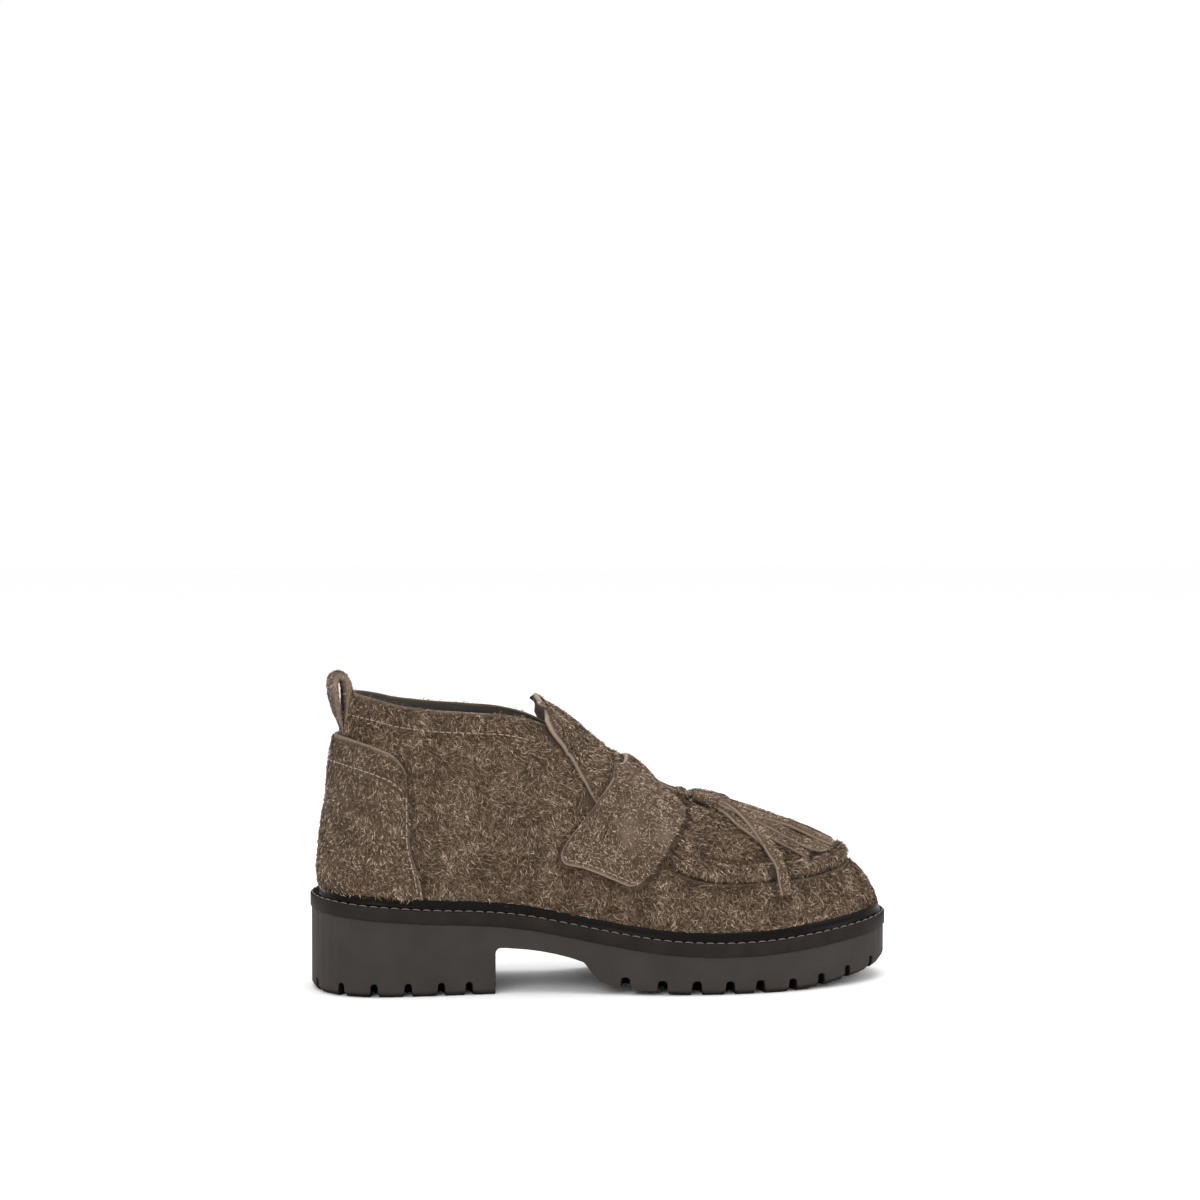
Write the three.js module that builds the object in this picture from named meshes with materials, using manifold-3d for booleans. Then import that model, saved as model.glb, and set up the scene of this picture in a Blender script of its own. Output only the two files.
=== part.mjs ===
// An ankle-high moccasin boot for the right foot: lugged sole, rolled seam, saddle strap and tassels.
// Millimetres. x runs from heel to toe, y to the inner side of the foot, z up from the ground.
import * as THREE from "three";
import { mergeVertices } from "three/addons/utils/BufferGeometryUtils.js";
import Module from "manifold-3d";

const wasm = await Module();
wasm.setup();
const { clamp, degToRad, lerp, smoothstep } = THREE.MathUtils;

// Driving sizes of the sole
const LENGTH = 280; // heel to toe
const BALL_WIDTH = 104; // across the ball
const HEEL_WIDTH = 74; // across the heel
const HEEL_ROUND = 36; // how far forward the curve of the heel's end reaches
const TOE_ROUND = 86; // how far back the curve of the toe reaches
const TOE_SWING = 5; // how far the toe swings to the inner side
const HEEL_HEIGHT = 45.5; // ground to the welt at the back
const BALL_HEIGHT = 24.4; // ground to the welt at the ball
const TOE_LIFT = 8; // rise of the welt from ball to toe
const TOE_SPRING = 9.5; // ground to the tread at the toe's tip
const HEEL_BLOCK = 86; // heel from back to breast
const ARCH_HEIGHT = 22; // ground to the sole behind the arch
const BREAST_ROUND = 3; // corner between the heel's breast and the arch
const MIDSOLE = 6; // thickness of the band under the welt's edge
const LIP = 0.6; // how far that band stands out over the outsole
const WELT = 5.6; // how far the welt stands out past the upper
const EDGE = 2.2; // rounding of the tread's rim
const LUG_GROOVE = 6.4; // height of a groove between two lugs
const LUG_GAP = 4; // width of a groove at the tread
const LUG_REACH = 15; // how far a groove runs in from the rim
const TREAD_DEPTH = 2.6; // depth of the tread's middle field
const TREAD_BAR = 12; // length of a bar across that field

// Driving sizes of the upper
const COLLAR_HEIGHT = 141; // ground to the collar's back
const COLLAR_WIDTH = 58; // across the collar
const INSTEP_HEIGHT = 110.3; // ground to the foot of the throat
const TOE_HEIGHT = 70.2; // ground to the front of the apron
const CREST_SHIFT = 3; // how far the crest lies to the inner side
const THROAT = 0.53; // where the throat ends, as a share of the way from heel to toe
const WALL = 2; // suede and lining together
const ROLL_HEIGHT = 2.6; // rolled seam above the vamp
const ROLL_WIDTH = 9; // rolled seam across
const COUNTER_WALL = 1.8;
const COUNTER_CORNER = 10; // rounding of the counter's front corner
const TONGUE_WALL = 1.9;
const TONGUE_STANDOFF = 3; // tongue's rear corner off the quarter
const STRAP_WALL = 2;
const STRAP_CORNER = 5; // rounding of the strap's lower corners
const STRAP_SLACK = 0.45; // over the tongue
const RAND_HEIGHT = 4.3;
const RAND_WALL = 1.7;
const RAND_FOOT = 1.6; // how much wider the rand is at its foot
const INSOLE = 3; // thickness
const GAP = 0.3; // between pieces that touch
const SHEET_GAP = 0.5; // between two curved sheets

// Driving sizes of the loop and the tassels
const LOOP_WIDTH = 17;
const LOOP_FOOT = 31; // how far the loop's feet run below the collar
const LOOP_TUCK = 2.8; // both feet together, flat against the quarters
const LOOP_RISE = 10; // top of the loop above the collar
const LOOP_DEPTH = 11.3; // back of the loop behind the quarters
const LOOP_SETTLE = 7; // over which the counter comes down beside and below its feet
const STRIP_WIDTH = 4.2;
const STRIP_WALL = 1.5;
const HEAD_LENGTH = 19;
const HEAD_WIDTH = 10.6;
const HEAD_HEIGHT = 5.6;
const THONG_WIDTH = 3.4;
const THONG_WALL = 2.2;
const KNOT = 4.6; // half the knot's length

// How finely the forms are cut
const HEEL_STATIONS = 20; // ribs on one side from the heel to the throat
const TOE_STATIONS = 17; // ribs on one side from the throat to the toe
const NUDGE = 1e-3; // step for slopes

// A smooth curve through the rows of a table, read by the first column and answered by name
function table(heading, rows) {
  const names = heading.split(" ").slice(1);
  const at = rows.map((row) => row[0]);
  const span = (i) => at[i + 1] - at[i];
  const rate = (i, c) => (rows[i + 1][c] - rows[i][c]) / span(i);
  const slope = (i, c) => {
    if (i === 0) return rate(0, c);
    if (i === rows.length - 1) return rate(i - 1, c);
    const before = rate(i - 1, c);
    const after = rate(i, c);
    if (before * after <= 0) return 0;
    return (span(i) * before + span(i - 1) * after) / (span(i) + span(i - 1));
  };
  const slopes = rows.map((row, i) => row.map((value, c) => slope(i, c)));
  return (x) => {
    let i = 0;
    while (i < rows.length - 2 && x > at[i + 1]) i += 1;
    const s = clamp((x - at[i]) / span(i), 0, 1);
    const rise = s * s * (3 - 2 * s);
    const near = s * (1 - s) * (1 - s) * span(i);
    const far = s * s * (s - 1) * span(i);
    const value = {};
    names.forEach((name, n) => {
      const c = n + 1;
      const level = lerp(rows[i][c], rows[i + 1][c], rise);
      value[name] = level + near * slopes[i][c] + far * slopes[i + 1][c];
    });
    return value;
  };
}

// Ground plan: half widths as shares of the width there
const PLAN = table("along outer inner", [
  [0, 0.49, 0.49],
  [0.15, 0.5, 0.5],
  [0.28, 0.475, 0.455],
  [0.4, 0.435, 0.375],
  [0.5, 0.44, 0.37],
  [0.6, 0.475, 0.43],
  [0.7, 0.495, 0.49],
  [0.8, 0.485, 0.5],
  [0.9, 0.46, 0.48],
  [1, 0.44, 0.45],
]);

// Height of the welt: share of the heel's rise over the ball, and share of the toe's lift
const WELT_LINE = table("along heel toe", [
  [0, 1, 0],
  [0.1, 0.872, 0],
  [0.2, 0.768, 0],
  [0.29, 0.701, 0],
  [0.36, 0.592, 0],
  [0.42, 0.445, 0],
  [0.5, 0.246, 0],
  [0.57, 0.104, 0],
  [0.64, 0.024, 0],
  [0.7, 0, 0],
  [0.76, 0, 0.05],
  [0.84, 0, 0.275],
  [0.92, 0, 0.6],
  [1, 0, 1],
]);

// Top line of the upper: place along the sole, half widths, and how much of the rise from toe to
// instep and from instep to collar it has
const TOP_LINE = table("around along half instep collar", [
  [0, 0.0704, 0, 1, 1],
  [0.05, 0.0718, 0.112, 1, 1],
  [0.1, 0.0782, 0.221, 1, 0.991],
  [0.15, 0.0929, 0.324, 1, 0.967],
  [0.2, 0.1179, 0.414, 1, 0.915],
  [0.25, 0.15, 0.474, 1, 0.845],
  [0.3, 0.2071, 0.5, 1, 0.779],
  [0.35, 0.2714, 0.497, 1, 0.733],
  [0.4, 0.3393, 0.466, 1, 0.673],
  [0.43, 0.3804, 0.405, 1, 0.58],
  [0.455, 0.4125, 0.31, 1, 0.45],
  [0.48, 0.4429, 0.19, 1, 0.3],
  [0.505, 0.475, 0.086, 1, 0.16],
  [THROAT, 0.5071, 0, 1, 0],
  [0.555, 0.5375, 0, 0.858, 0],
  [0.58, 0.575, 0, 0.658, 0],
  [0.62, 0.6286, 0, 0.474, 0],
  [0.66, 0.6786, 0, 0.359, 0],
  [0.7, 0.725, 0, 0.274, 0],
  [0.75, 0.7714, 0, 0.185, 0],
  [0.8, 0.8036, 0, 0.117, 0],
  [0.85, 0.825, 0, 0.067, 0],
  [0.9, 0.8393, 0, 0.03, 0],
  [0.95, 0.8475, 0, 0.0075, 0],
  [1, 0.85, 0, 0, 0],
]);

// Each rib of the last: its lean in degrees where it leaves the sole and where it arrives at the
// top, and how far it pulls that way, as shares of its own height, or of its reach at the crest
const RIB = table("around leanOut pullOut leanIn pullIn", [
  [0, 12, 0.27, 6, 0.36],
  [0.1, 11, 0.27, 7, 0.36],
  [0.2, 7, 0.28, 8, 0.36],
  [0.3, 6, 0.3, 7, 0.36],
  [0.38, 6, 0.34, 9, 0.34],
  [0.43, 7, 0.36, 26, 0.4],
  [0.48, 8, 0.4, 58, 0.42],
  [THROAT, 8, 0.42, 84, 0.5],
  [0.6, 7, 0.42, 90, 0.52],
  [0.7, 6, 0.42, 90, 0.56],
  [0.85, 6, 0.42, 90, 0.56],
  [1, 7, 0.42, 90, 0.46],
]);

// The rolled seam: how far up each rib it runs, and how much of its height it has
const SEAM = table("around up full", [
  [0, 0.42, 0],
  [0.545, 0.42, 0],
  [0.56, 0.413, 0.15],
  [0.6, 0.375, 1],
  [0.66, 0.39, 1],
  [0.7, 0.413, 1],
  [0.78, 0.473, 1],
  [0.86, 0.555, 1],
  [0.9, 0.605, 1],
  [0.95, 0.645, 1],
  [1, 0.655, 1],
]);

// The tongue: how far up each rib its edge lies, its lift off the quarter as a share of the rear
// corner's, its crest along the sole and up from the instep, and how far it is still a free flap
const TONGUE_TIP = 0.434;
const TONGUE_END = 0.59;
const TONGUE = table("around edge lift along up free", [
  [TONGUE_TIP, 0.995, 1, 0.3832, 0.9, 1],
  [0.442, 0.95, 0.9, 0.395, 0.79, 1],
  [0.458, 0.87, 0.6, 0.4129, 0.684, 1],
  [0.474, 0.755, 0.3, 0.4343, 0.534, 1],
  [0.486, 0.65, 0.22, 0.4521, 0.401, 1],
  [0.498, 0.56, 0.1, 0.4682, 0.283, 1],
  [0.514, 0.475, 0, 0.4914, 0.117, 1],
  [THROAT, 0.43, 0, 0.5071, 0.005, 1],
  [0.548, 0.415, 0, 0.529, -0.12, 0],
  [TONGUE_END, 0.46, 0, 0.585, -0.4, 0],
]);

// Ground plan of the sole on one side of the foot: around is 0 at the heel and 1 at the toe
function station(around) {
  return (LENGTH * (1 - Math.cos(Math.PI * around))) / 2;
}

function roundEnd(distance, reach, power) {
  const short = clamp((reach - distance) / reach, 0, 1);
  return (1 - short ** power) ** (1 / power);
}

function planPoint(around, side) {
  const x = station(around);
  const along = x / LENGTH;
  const width = lerp(HEEL_WIDTH, BALL_WIDTH, smoothstep(along, 0.3, 0.62));
  const share = side < 0 ? PLAN(along).outer : PLAN(along).inner;
  const ends = roundEnd(x, HEEL_ROUND, 2.2) * roundEnd(LENGTH - x, TOE_ROUND, 2.35);
  const centre = TOE_SWING * smoothstep(along, 0.45, 1);
  return new THREE.Vector2(x, centre + side * share * width * ends);
}

function planNormal(around, side) {
  if (around < 1e-6) return new THREE.Vector2(-1, 0);
  if (around > 1 - 1e-6) return new THREE.Vector2(1, 0);
  const ahead = planPoint(Math.min(around + 1e-4, 1), side);
  const step = ahead.sub(planPoint(Math.max(around - 1e-4, 0), side));
  return new THREE.Vector2(-side * step.y, side * step.x).normalize();
}

function outline(around, side, inset) {
  return planPoint(around, side).addScaledVector(planNormal(around, side), -inset);
}

function weltHeight(x) {
  const line = WELT_LINE(x / LENGTH);
  return BALL_HEIGHT + (HEEL_HEIGHT - BALL_HEIGHT) * line.heel + TOE_LIFT * line.toe;
}

function topPoint(around, side) {
  const line = TOP_LINE(around);
  const x = LENGTH * line.along;
  const crest = CREST_SHIFT * smoothstep(line.along, 0.35, 0.55);
  const rise = (INSTEP_HEIGHT - TOE_HEIGHT) * line.instep;
  const z = TOE_HEIGHT + rise + (COLLAR_HEIGHT - INSTEP_HEIGHT) * line.collar;
  return new THREE.Vector3(x, crest + side * COLLAR_WIDTH * line.half, z);
}

// The upper's lower edge stands further in behind the heel, where the counter goes round it
function featherInset(around) {
  return WELT + (COUNTER_WALL + GAP) * (1 - smoothstep(around, 0.15, 0.3));
}

// The last: around is 0 at the heel's back, 1 at the toe by the inner side and -1 by the outer
// side, and up is 0 at the lower edge and 1 at the collar, the throat or the crest
function last(around, up) {
  const side = around < 0 ? -1 : 1;
  const t = Math.abs(around);
  const rib = RIB(t);
  const foot2 = outline(t, side, featherInset(t));
  const foot = new THREE.Vector3(foot2.x, foot2.y, weltHeight(foot2.x) + GAP);
  const top = topPoint(t, side);
  const out = planNormal(t, side);
  const height = top.z - foot.z;
  const reach = Math.hypot(foot.x - top.x, foot.y - top.y);
  const leanOut = degToRad(rib.leanOut);
  const leanIn = degToRad(rib.leanIn);
  const pullOut = rib.pullOut * height;
  const pullIn = rib.pullIn * lerp(height, reach, smoothstep(rib.leanIn, 20, 70));
  let fall = 0;
  if (t >= THROAT - 0.06) {
    const before = topPoint(Math.max(t - NUDGE, 0), side);
    const after = topPoint(Math.min(t + NUDGE, 1), side);
    fall = (after.z - before.z) / (after.x - before.x);
  }
  const low = new THREE.Vector3(out.x, out.y, 0).multiplyScalar(Math.sin(leanOut) * pullOut);
  low.z = Math.cos(leanOut) * pullOut;
  const high = new THREE.Vector3(out.x, out.y, fall * out.x);
  high.multiplyScalar(Math.sin(leanIn) * pullIn);
  high.z -= Math.cos(leanIn) * pullIn;
  const curve = new THREE.CubicBezierCurve3(foot, low.add(foot), high.add(top), top);
  return curve.getPoint(up);
}

// The last as the tongue closes it: the same, with a roof over the throat
function dressedLast(around, up) {
  const t = Math.abs(around);
  const side = around < 0 ? -1 : 1;
  if (t < TONGUE_TIP || t > TONGUE_END) return last(around, up);
  const row = TONGUE(t);
  if (row.free <= 0) return last(around, up);
  const below = smoothstep(row.edge - up, 0, 0.2);
  if (up <= row.edge) return skin(last, around, up, TONGUE_STANDOFF * row.lift * (1 - below));
  const across = (1 - up) / (1 - row.edge);
  const edge = skin(last, side * t, row.edge, TONGUE_STANDOFF * row.lift);
  const lower = skin(last, side * t, row.edge - 0.05, TONGUE_STANDOFF * row.lift);
  const climb = edge.clone().sub(lower).normalize();
  const crest = new THREE.Vector3(
    LENGTH * row.along,
    CREST_SHIFT,
    INSTEP_HEIGHT + (COLLAR_HEIGHT - INSTEP_HEIGHT) * row.up,
  );
  const half = Math.abs(edge.y - crest.y);
  const eave = crest.clone().add(new THREE.Vector3(0, side * 0.55 * half, -0.16 * half));
  const wall = edge.clone().addScaledVector(climb, 0.4 * edge.distanceTo(crest));
  const roof = new THREE.CubicBezierCurve3(crest, eave, wall, edge).getPoint(across);
  return last(around, up).lerp(roof, smoothstep(row.free, 0, 1));
}

// A point of a surface, lifted off it by some millimetres
function skin(surface, around, up, lift) {
  const point = surface(around, up);
  if (lift === 0) return point;
  const side = around < 0 ? -1 : 1;
  const t = Math.abs(around);
  const closedFrom = surface === dressedLast ? TONGUE_TIP : THROAT;
  const closed = t >= closedFrom;
  const ahead = t + NUDGE > 1 ? side * (t + NUDGE - 2) : side * (t + NUDGE);
  const behind = side * (closed ? Math.max(t - NUDGE, closedFrom) : t - NUDGE);
  const onwards = surface(ahead, up).sub(surface(behind, up)).multiplyScalar(side);
  let above = surface(around, Math.min(up + NUDGE, 1));
  if (closed && up + NUDGE > 1) above = surface(-around, 2 - up - NUDGE);
  const below = surface(around, Math.max(up - NUDGE, 0));
  const normal = above.sub(below).cross(onwards).normalize();
  return point.addScaledVector(normal, lift);
}

// Closed faces gathered one by one
class Faces {
  constructor() {
    this.corners = [];
  }

  triangle(a, b, c) {
    const tiny = 1e-4;
    if (a.distanceTo(b) < tiny || b.distanceTo(c) < tiny || c.distanceTo(a) < tiny) return;
    this.corners.push(a, b, c);
  }

  quad(a, b, c, d) {
    if (a.distanceToSquared(c) <= b.distanceToSquared(d)) {
      this.triangle(a, b, c);
      this.triangle(a, c, d);
    } else {
      this.triangle(a, b, d);
      this.triangle(b, c, d);
    }
  }

  // Quads between two lines of points with as many points each
  strip(lower, upper) {
    for (let i = 0; i + 1 < lower.length; i += 1) {
      this.quad(lower[i], lower[i + 1], upper[i + 1], upper[i]);
    }
  }

  geometry() {
    return new THREE.BufferGeometry().setFromPoints(this.corners);
  }
}

// A closed geometry as a solid for joins and cuts
function solid(geometry) {
  const bare = geometry.clone();
  bare.deleteAttribute("normal");
  bare.deleteAttribute("uv");
  const merged = mergeVertices(bare, 1e-4);
  const vertProperties = merged.getAttribute("position").array;
  const triVerts = Uint32Array.from(merged.index.array);
  const numProp = 3;
  const made = new wasm.Manifold(new wasm.Mesh({ numProp, vertProperties, triVerts }));
  if (made.volume() >= 0) return made;
  triVerts.reverse();
  return new wasm.Manifold(new wasm.Mesh({ numProp, vertProperties, triVerts }));
}

// The outer shell of strips joined together, with no hollow shut in between them
function shellOf(made) {
  const bodies = made.decompose();
  return bodies.reduce((best, body) => (body.volume() > best.volume() ? body : best));
}

function geometryOf(made) {
  const mesh = made.getMesh();
  const position = new THREE.BufferAttribute(Float32Array.from(mesh.vertProperties), 3);
  const geometry = new THREE.BufferGeometry().setAttribute("position", position);
  geometry.setIndex(new THREE.BufferAttribute(Uint32Array.from(mesh.triVerts), 1));
  geometry.computeVertexNormals();
  return geometry;
}

// A sheet with thickness: outer and inner are rows of points of the same shape
function sheet(outer, inner) {
  const faces = new Faces();
  const end = outer.length - 1;
  for (let i = 0; i < end; i += 1) {
    faces.strip(outer[i], outer[i + 1]);
    faces.strip(inner[i + 1], inner[i]);
  }
  const side = (rows, j) => rows.map((row) => row[j]);
  const edge = outer[0].length - 1;
  faces.strip(inner[0], outer[0]);
  faces.strip(outer[end], inner[end]);
  faces.strip(side(outer, 0), side(inner, 0));
  faces.strip(side(inner, edge), side(outer, edge));
  return solid(faces.geometry());
}

// Even steps from one value to another
function steps(from, to, count) {
  return Array.from({ length: count + 1 }, (_, i) => lerp(from, to, i / count));
}

const HEEL_SIDE = steps(0, THROAT, HEEL_STATIONS);
const ONE_SIDE = [...HEEL_SIDE, ...steps(THROAT, 1, TOE_STATIONS).slice(1)];
const ROUND = [...ONE_SIDE.slice(1).reverse().map((t) => -t), ...ONE_SIDE];

// A solid from rings that follow the ground plan, each with its inset and height
function stack(rings) {
  const lines = rings.map((ring) =>
    ROUND.map((around) => {
      const t = Math.abs(around);
      const flat = outline(t, around < 0 ? -1 : 1, ring.inset(t));
      return new THREE.Vector3(flat.x, flat.y, ring.height(flat.x));
    }),
  );
  const faces = new Faces();
  for (let i = 0; i + 1 < lines.length; i += 1) faces.strip(lines[i], lines[i + 1]);
  const half = ONE_SIDE.length;
  const cap = (line, up) => {
    const outer = line.slice(0, half);
    const inner = line.slice(half - 1).reverse();
    if (up) faces.strip(outer, inner);
    else faces.strip(inner, outer);
  };
  cap(lines[0], false);
  cap(lines[lines.length - 1], true);
  return solid(faces.geometry());
}

// A closed outline with rounded corners: rows of across, up and rounding
function rounded(corners) {
  const points = corners.map(([x, y]) => new THREE.Vector2(x, y));
  const count = points.length;
  const shape = new THREE.Shape();
  points.forEach((corner, i) => {
    const before = points[(i + count - 1) % count];
    const after = points[(i + 1) % count];
    const room = Math.min(corner.distanceTo(before), corner.distanceTo(after));
    const cut = Math.min(corners[i][2], 0.48 * room);
    const into = corner.clone().add(before.clone().sub(corner).setLength(cut));
    const away = corner.clone().add(after.clone().sub(corner).setLength(cut));
    if (i === 0) shape.moveTo(into.x, into.y);
    else shape.lineTo(into.x, into.y);
    if (cut > 0) shape.quadraticCurveTo(corner.x, corner.y, away.x, away.y);
  });
  shape.closePath();
  return shape;
}

// A side view outline carried right across the foot
function acrossFoot(shape, reach = BALL_WIDTH) {
  const geometry = new THREE.ExtrudeGeometry(shape, {
    depth: 2 * reach,
    bevelEnabled: false,
    curveSegments: 5,
  });
  return solid(geometry.rotateX(Math.PI / 2).translate(0, reach, 0));
}

// A plan outline carried right up through the boot
function upThrough(shape) {
  const geometry = new THREE.ExtrudeGeometry(shape, {
    depth: 2 * COLLAR_HEIGHT,
    bevelEnabled: false,
    curveSegments: 5,
  });
  return solid(geometry.translate(0, 0, -COLLAR_HEIGHT / 2));
}

const boot = new THREE.Group();

function addPiece(name, made, colour, roughness) {
  const material = new THREE.MeshStandardMaterial({ color: colour, roughness, metalness: 0 });
  const mesh = new THREE.Mesh(geometryOf(made), material);
  mesh.name = name;
  boot.add(mesh);
}

// Outsole: one rubber unit with a block heel, a bare arch and a lugged forefoot
const FLAT_END = 0.79 * LENGTH; // where the tread starts to rise to the toe

function treadHeight(x) {
  return TOE_SPRING * clamp((x - FLAT_END) / (LENGTH - FLAT_END), 0, 1) ** 1.7;
}

function archOutline() {
  const shape = new THREE.Shape();
  const start = HEEL_BLOCK + BREAST_ROUND;
  const end = 0.635 * LENGTH; // where the tread begins
  const under = table("forward up", [
    [0, 1],
    [0.18, 0.927],
    [0.395, 0.736],
    [0.431, 0.686],
    [0.462, 0.52],
    [0.492, 0.36],
    [0.615, 0.182],
    [0.798, 0.062],
    [1, 0],
  ]);
  shape.moveTo(HEEL_BLOCK, -ARCH_HEIGHT);
  shape.lineTo(HEEL_BLOCK, ARCH_HEIGHT - BREAST_ROUND);
  shape.quadraticCurveTo(HEEL_BLOCK, ARCH_HEIGHT, start, ARCH_HEIGHT);
  for (const forward of [...steps(0, 0.431, 6).slice(1), ...steps(0.462, 1, 10)]) {
    shape.lineTo(lerp(start, end, forward), ARCH_HEIGHT * under(forward).up);
  }
  shape.lineTo(end, -ARCH_HEIGHT);
  shape.closePath();
  return shape;
}

// The grooves between the lugs: how far round they lie, and their width and height as shares of
// the usual groove
const GROOVES = [
  [0.055, 0.9, 1],
  [0.139, 0.95, 1],
  [0.2075, 1, 1],
  [0.262, 1, 1],
  [0.3075, 1, 1],
  [0.3425, 1, 1],
  [0.514, 1.3, 1.3],
  [0.553, 1.35, 1.1],
  [0.591, 1.3, 1.06],
  [0.6295, 1.25, 1],
  [0.667, 1.25, 1],
  [0.712, 1.2, 0.95],
  [0.7575, 1.1, 0.95],
  [0.809, 1, 0.95],
  [0.874, 0.9, 0.9],
  [0.945, 0.8, 0.85],
];

function groove([around, wide, tall], side) {
  const width = LUG_GAP * wide;
  const spot = outline(around, side, 0);
  const out = planNormal(around, side);
  const high = LUG_GROOVE * tall + treadHeight(spot.x);
  const narrow = 0.38 * width;
  const cut = rounded([
    [-0.55 * width, -EDGE, 0],
    [0.55 * width, -EDGE, 0],
    [narrow, high, 0.8],
    [-narrow, high, 0.8],
  ]);
  const geometry = new THREE.ExtrudeGeometry(cut, {
    depth: LUG_REACH + EDGE,
    bevelEnabled: false,
    curveSegments: 1,
  });
  geometry.translate(0, 0, -LUG_REACH).rotateX(Math.PI / 2).rotateZ(Math.PI / 2);
  geometry.rotateZ(Math.atan2(out.y, out.x)).translate(spot.x, spot.y, 0);
  return solid(geometry);
}

// Bars that stand across the middle field of the tread: place along the sole, and length as a
// share of the usual bar
const BARS = [
  [0.075, 1],
  [0.15, 1.15],
  [0.235, 1.15],
  [0.64, 1],
  [0.705, 1],
  [0.77, 1],
  [0.835, 0.85],
  [0.895, 0.75],
];

function outsole() {
  const rim = (inset, lift) => ({
    inset: () => LIP + inset,
    height: (x) => treadHeight(x) + lift,
  });
  let unit = stack([
    rim(EDGE, 0),
    rim(0, 1.2 * EDGE),
    { inset: () => LIP, height: (x) => weltHeight(x) - MIDSOLE - GAP },
  ]);
  unit = unit.subtract(acrossFoot(archOutline()));
  const field = stack([
    { inset: () => LUG_REACH, height: () => -EDGE },
    { inset: () => LUG_REACH, height: (x) => treadHeight(x) + TREAD_DEPTH },
  ]);
  let bars = null;
  for (const [along, long] of BARS) {
    const bar = new THREE.BoxGeometry(long * TREAD_BAR, BALL_WIDTH, ARCH_HEIGHT);
    const placed = solid(bar.translate(along * LENGTH, 0, 0));
    bars = bars ? bars.add(placed) : placed;
  }
  unit = unit.subtract(field.subtract(bars));
  for (const row of GROOVES) {
    for (const side of [-1, 1]) unit = unit.subtract(groove(row, side));
  }
  return unit;
}

addPiece("outsole", outsole(), 0x3e3936, 0.75);

// Midsole: the band whose top edge is the welt
const bandEdge = 0.9;
addPiece(
  "midsole",
  stack([
    { inset: () => bandEdge, height: (x) => weltHeight(x) - MIDSOLE },
    { inset: () => 0, height: (x) => weltHeight(x) - MIDSOLE + bandEdge },
    { inset: () => 0, height: (x) => weltHeight(x) - bandEdge },
    { inset: () => bandEdge, height: (x) => weltHeight(x) },
  ]),
  0x35312e,
  0.8,
);

// Insole: it lies on the midsole inside the upper
const insoleInset = (around) => featherInset(around) + WALL + 2 * GAP;
addPiece(
  "insole",
  stack([
    { inset: insoleInset, height: (x) => weltHeight(x) + GAP },
    { inset: insoleInset, height: (x) => weltHeight(x) + GAP + INSOLE },
  ]),
  0x2d2a28,
  0.6,
);

// How far up a rib lies a given height above the upper's lower edge
function upAt(around, height) {
  const foot = last(around, 0).z;
  let low = 0;
  let high = 1;
  for (let i = 0; i < 15; i += 1) {
    const middle = (low + high) / 2;
    if (last(around, middle).z - foot < height) low = middle;
    else high = middle;
  }
  return (low + high) / 2;
}

// Rand: the narrow glossy strip round the upper's foot
function rand() {
  const faces = new Faces();
  const sections = ROUND.map((around) => {
    const high = upAt(around, RAND_HEIGHT);
    const middle = upAt(around, 0.45 * RAND_HEIGHT);
    const lowIn = skin(last, around, 0, GAP);
    const lowOut = skin(last, around, 0, GAP + RAND_WALL + RAND_FOOT);
    lowOut.z = weltHeight(lowOut.x) + GAP;
    lowIn.z = weltHeight(lowIn.x) + GAP;
    return [
      lowIn,
      lowOut,
      skin(last, around, middle, GAP + RAND_WALL + 0.5 * RAND_FOOT),
      skin(last, around, 0.92 * high, GAP + RAND_WALL),
      skin(last, around, high, GAP + 0.6 * RAND_WALL),
      skin(last, around, high, GAP),
      lowIn,
    ];
  });
  for (let i = 0; i + 1 < sections.length; i += 1) faces.strip(sections[i], sections[i + 1]);
  return solid(faces.geometry());
}

addPiece("rand", rand(), 0x1c1715, 0.25);

// The rolled seam's lift at a place on the last
function ribLength(around) {
  const points = steps(0, 1, 10).map((up) => last(around, up));
  return points.slice(1).reduce((sum, point, i) => sum + point.distanceTo(points[i]), 0);
}

function rollLift(around, up) {
  const t = Math.abs(around);
  const seam = SEAM(t);
  const away = (Math.abs(up - seam.up) * ribLength(around)) / (ROLL_WIDTH / 2);
  return away >= 1 ? 0 : ROLL_HEIGHT * seam.full * (0.5 + 0.5 * Math.cos(Math.PI * away));
}

// Rows up a rib: even below and above the rolled seam, and close together on it
function outerRows(around) {
  const seam = SEAM(Math.abs(around)).up;
  const half = ROLL_WIDTH / 2 / ribLength(around);
  return [
    ...steps(0, seam - half, 4),
    ...steps(seam - half, seam + half, 4).slice(1),
    ...steps(seam + half, 1, 5).slice(1),
  ];
}

// Upper: quarters, vamp and apron in one hollow wall, open at the collar, the throat and the foot
function upper() {
  const faces = new Faces();
  const outside = ROUND.map((around) =>
    outerRows(around).map((up) => skin(last, around, up, rollLift(around, up))),
  );
  const inside = ROUND.map((around) =>
    steps(0, 1, 6).map((up) => skin(last, around, up, -WALL)),
  );
  const ends = (row) => [row[0], row[row.length - 1]];
  for (let i = 0; i + 1 < ROUND.length; i += 1) {
    faces.strip(outside[i], outside[i + 1]);
    faces.strip(inside[i + 1], inside[i]);
    const [outLow, outTop] = ends(outside[i]);
    const [inLow, inTop] = ends(inside[i]);
    const [nextOutLow, nextOutTop] = ends(outside[i + 1]);
    const [nextInLow, nextInTop] = ends(inside[i + 1]);
    faces.quad(inLow, outLow, nextOutLow, nextInLow);
    const open = Math.abs(ROUND[i] + ROUND[i + 1]) / 2 < THROAT;
    if (open) faces.quad(outTop, inTop, nextInTop, nextOutTop);
  }
  return solid(faces.geometry());
}

addPiece("upper", upper(), 0x69584a, 0.95);

// A piece of the last's surface as rows of points: lifts are functions of place
function patch(surface, rows, lift) {
  return rows.map((row) => row.map(([around, up]) => skin(surface, around, up, lift(around, up))));
}

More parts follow.
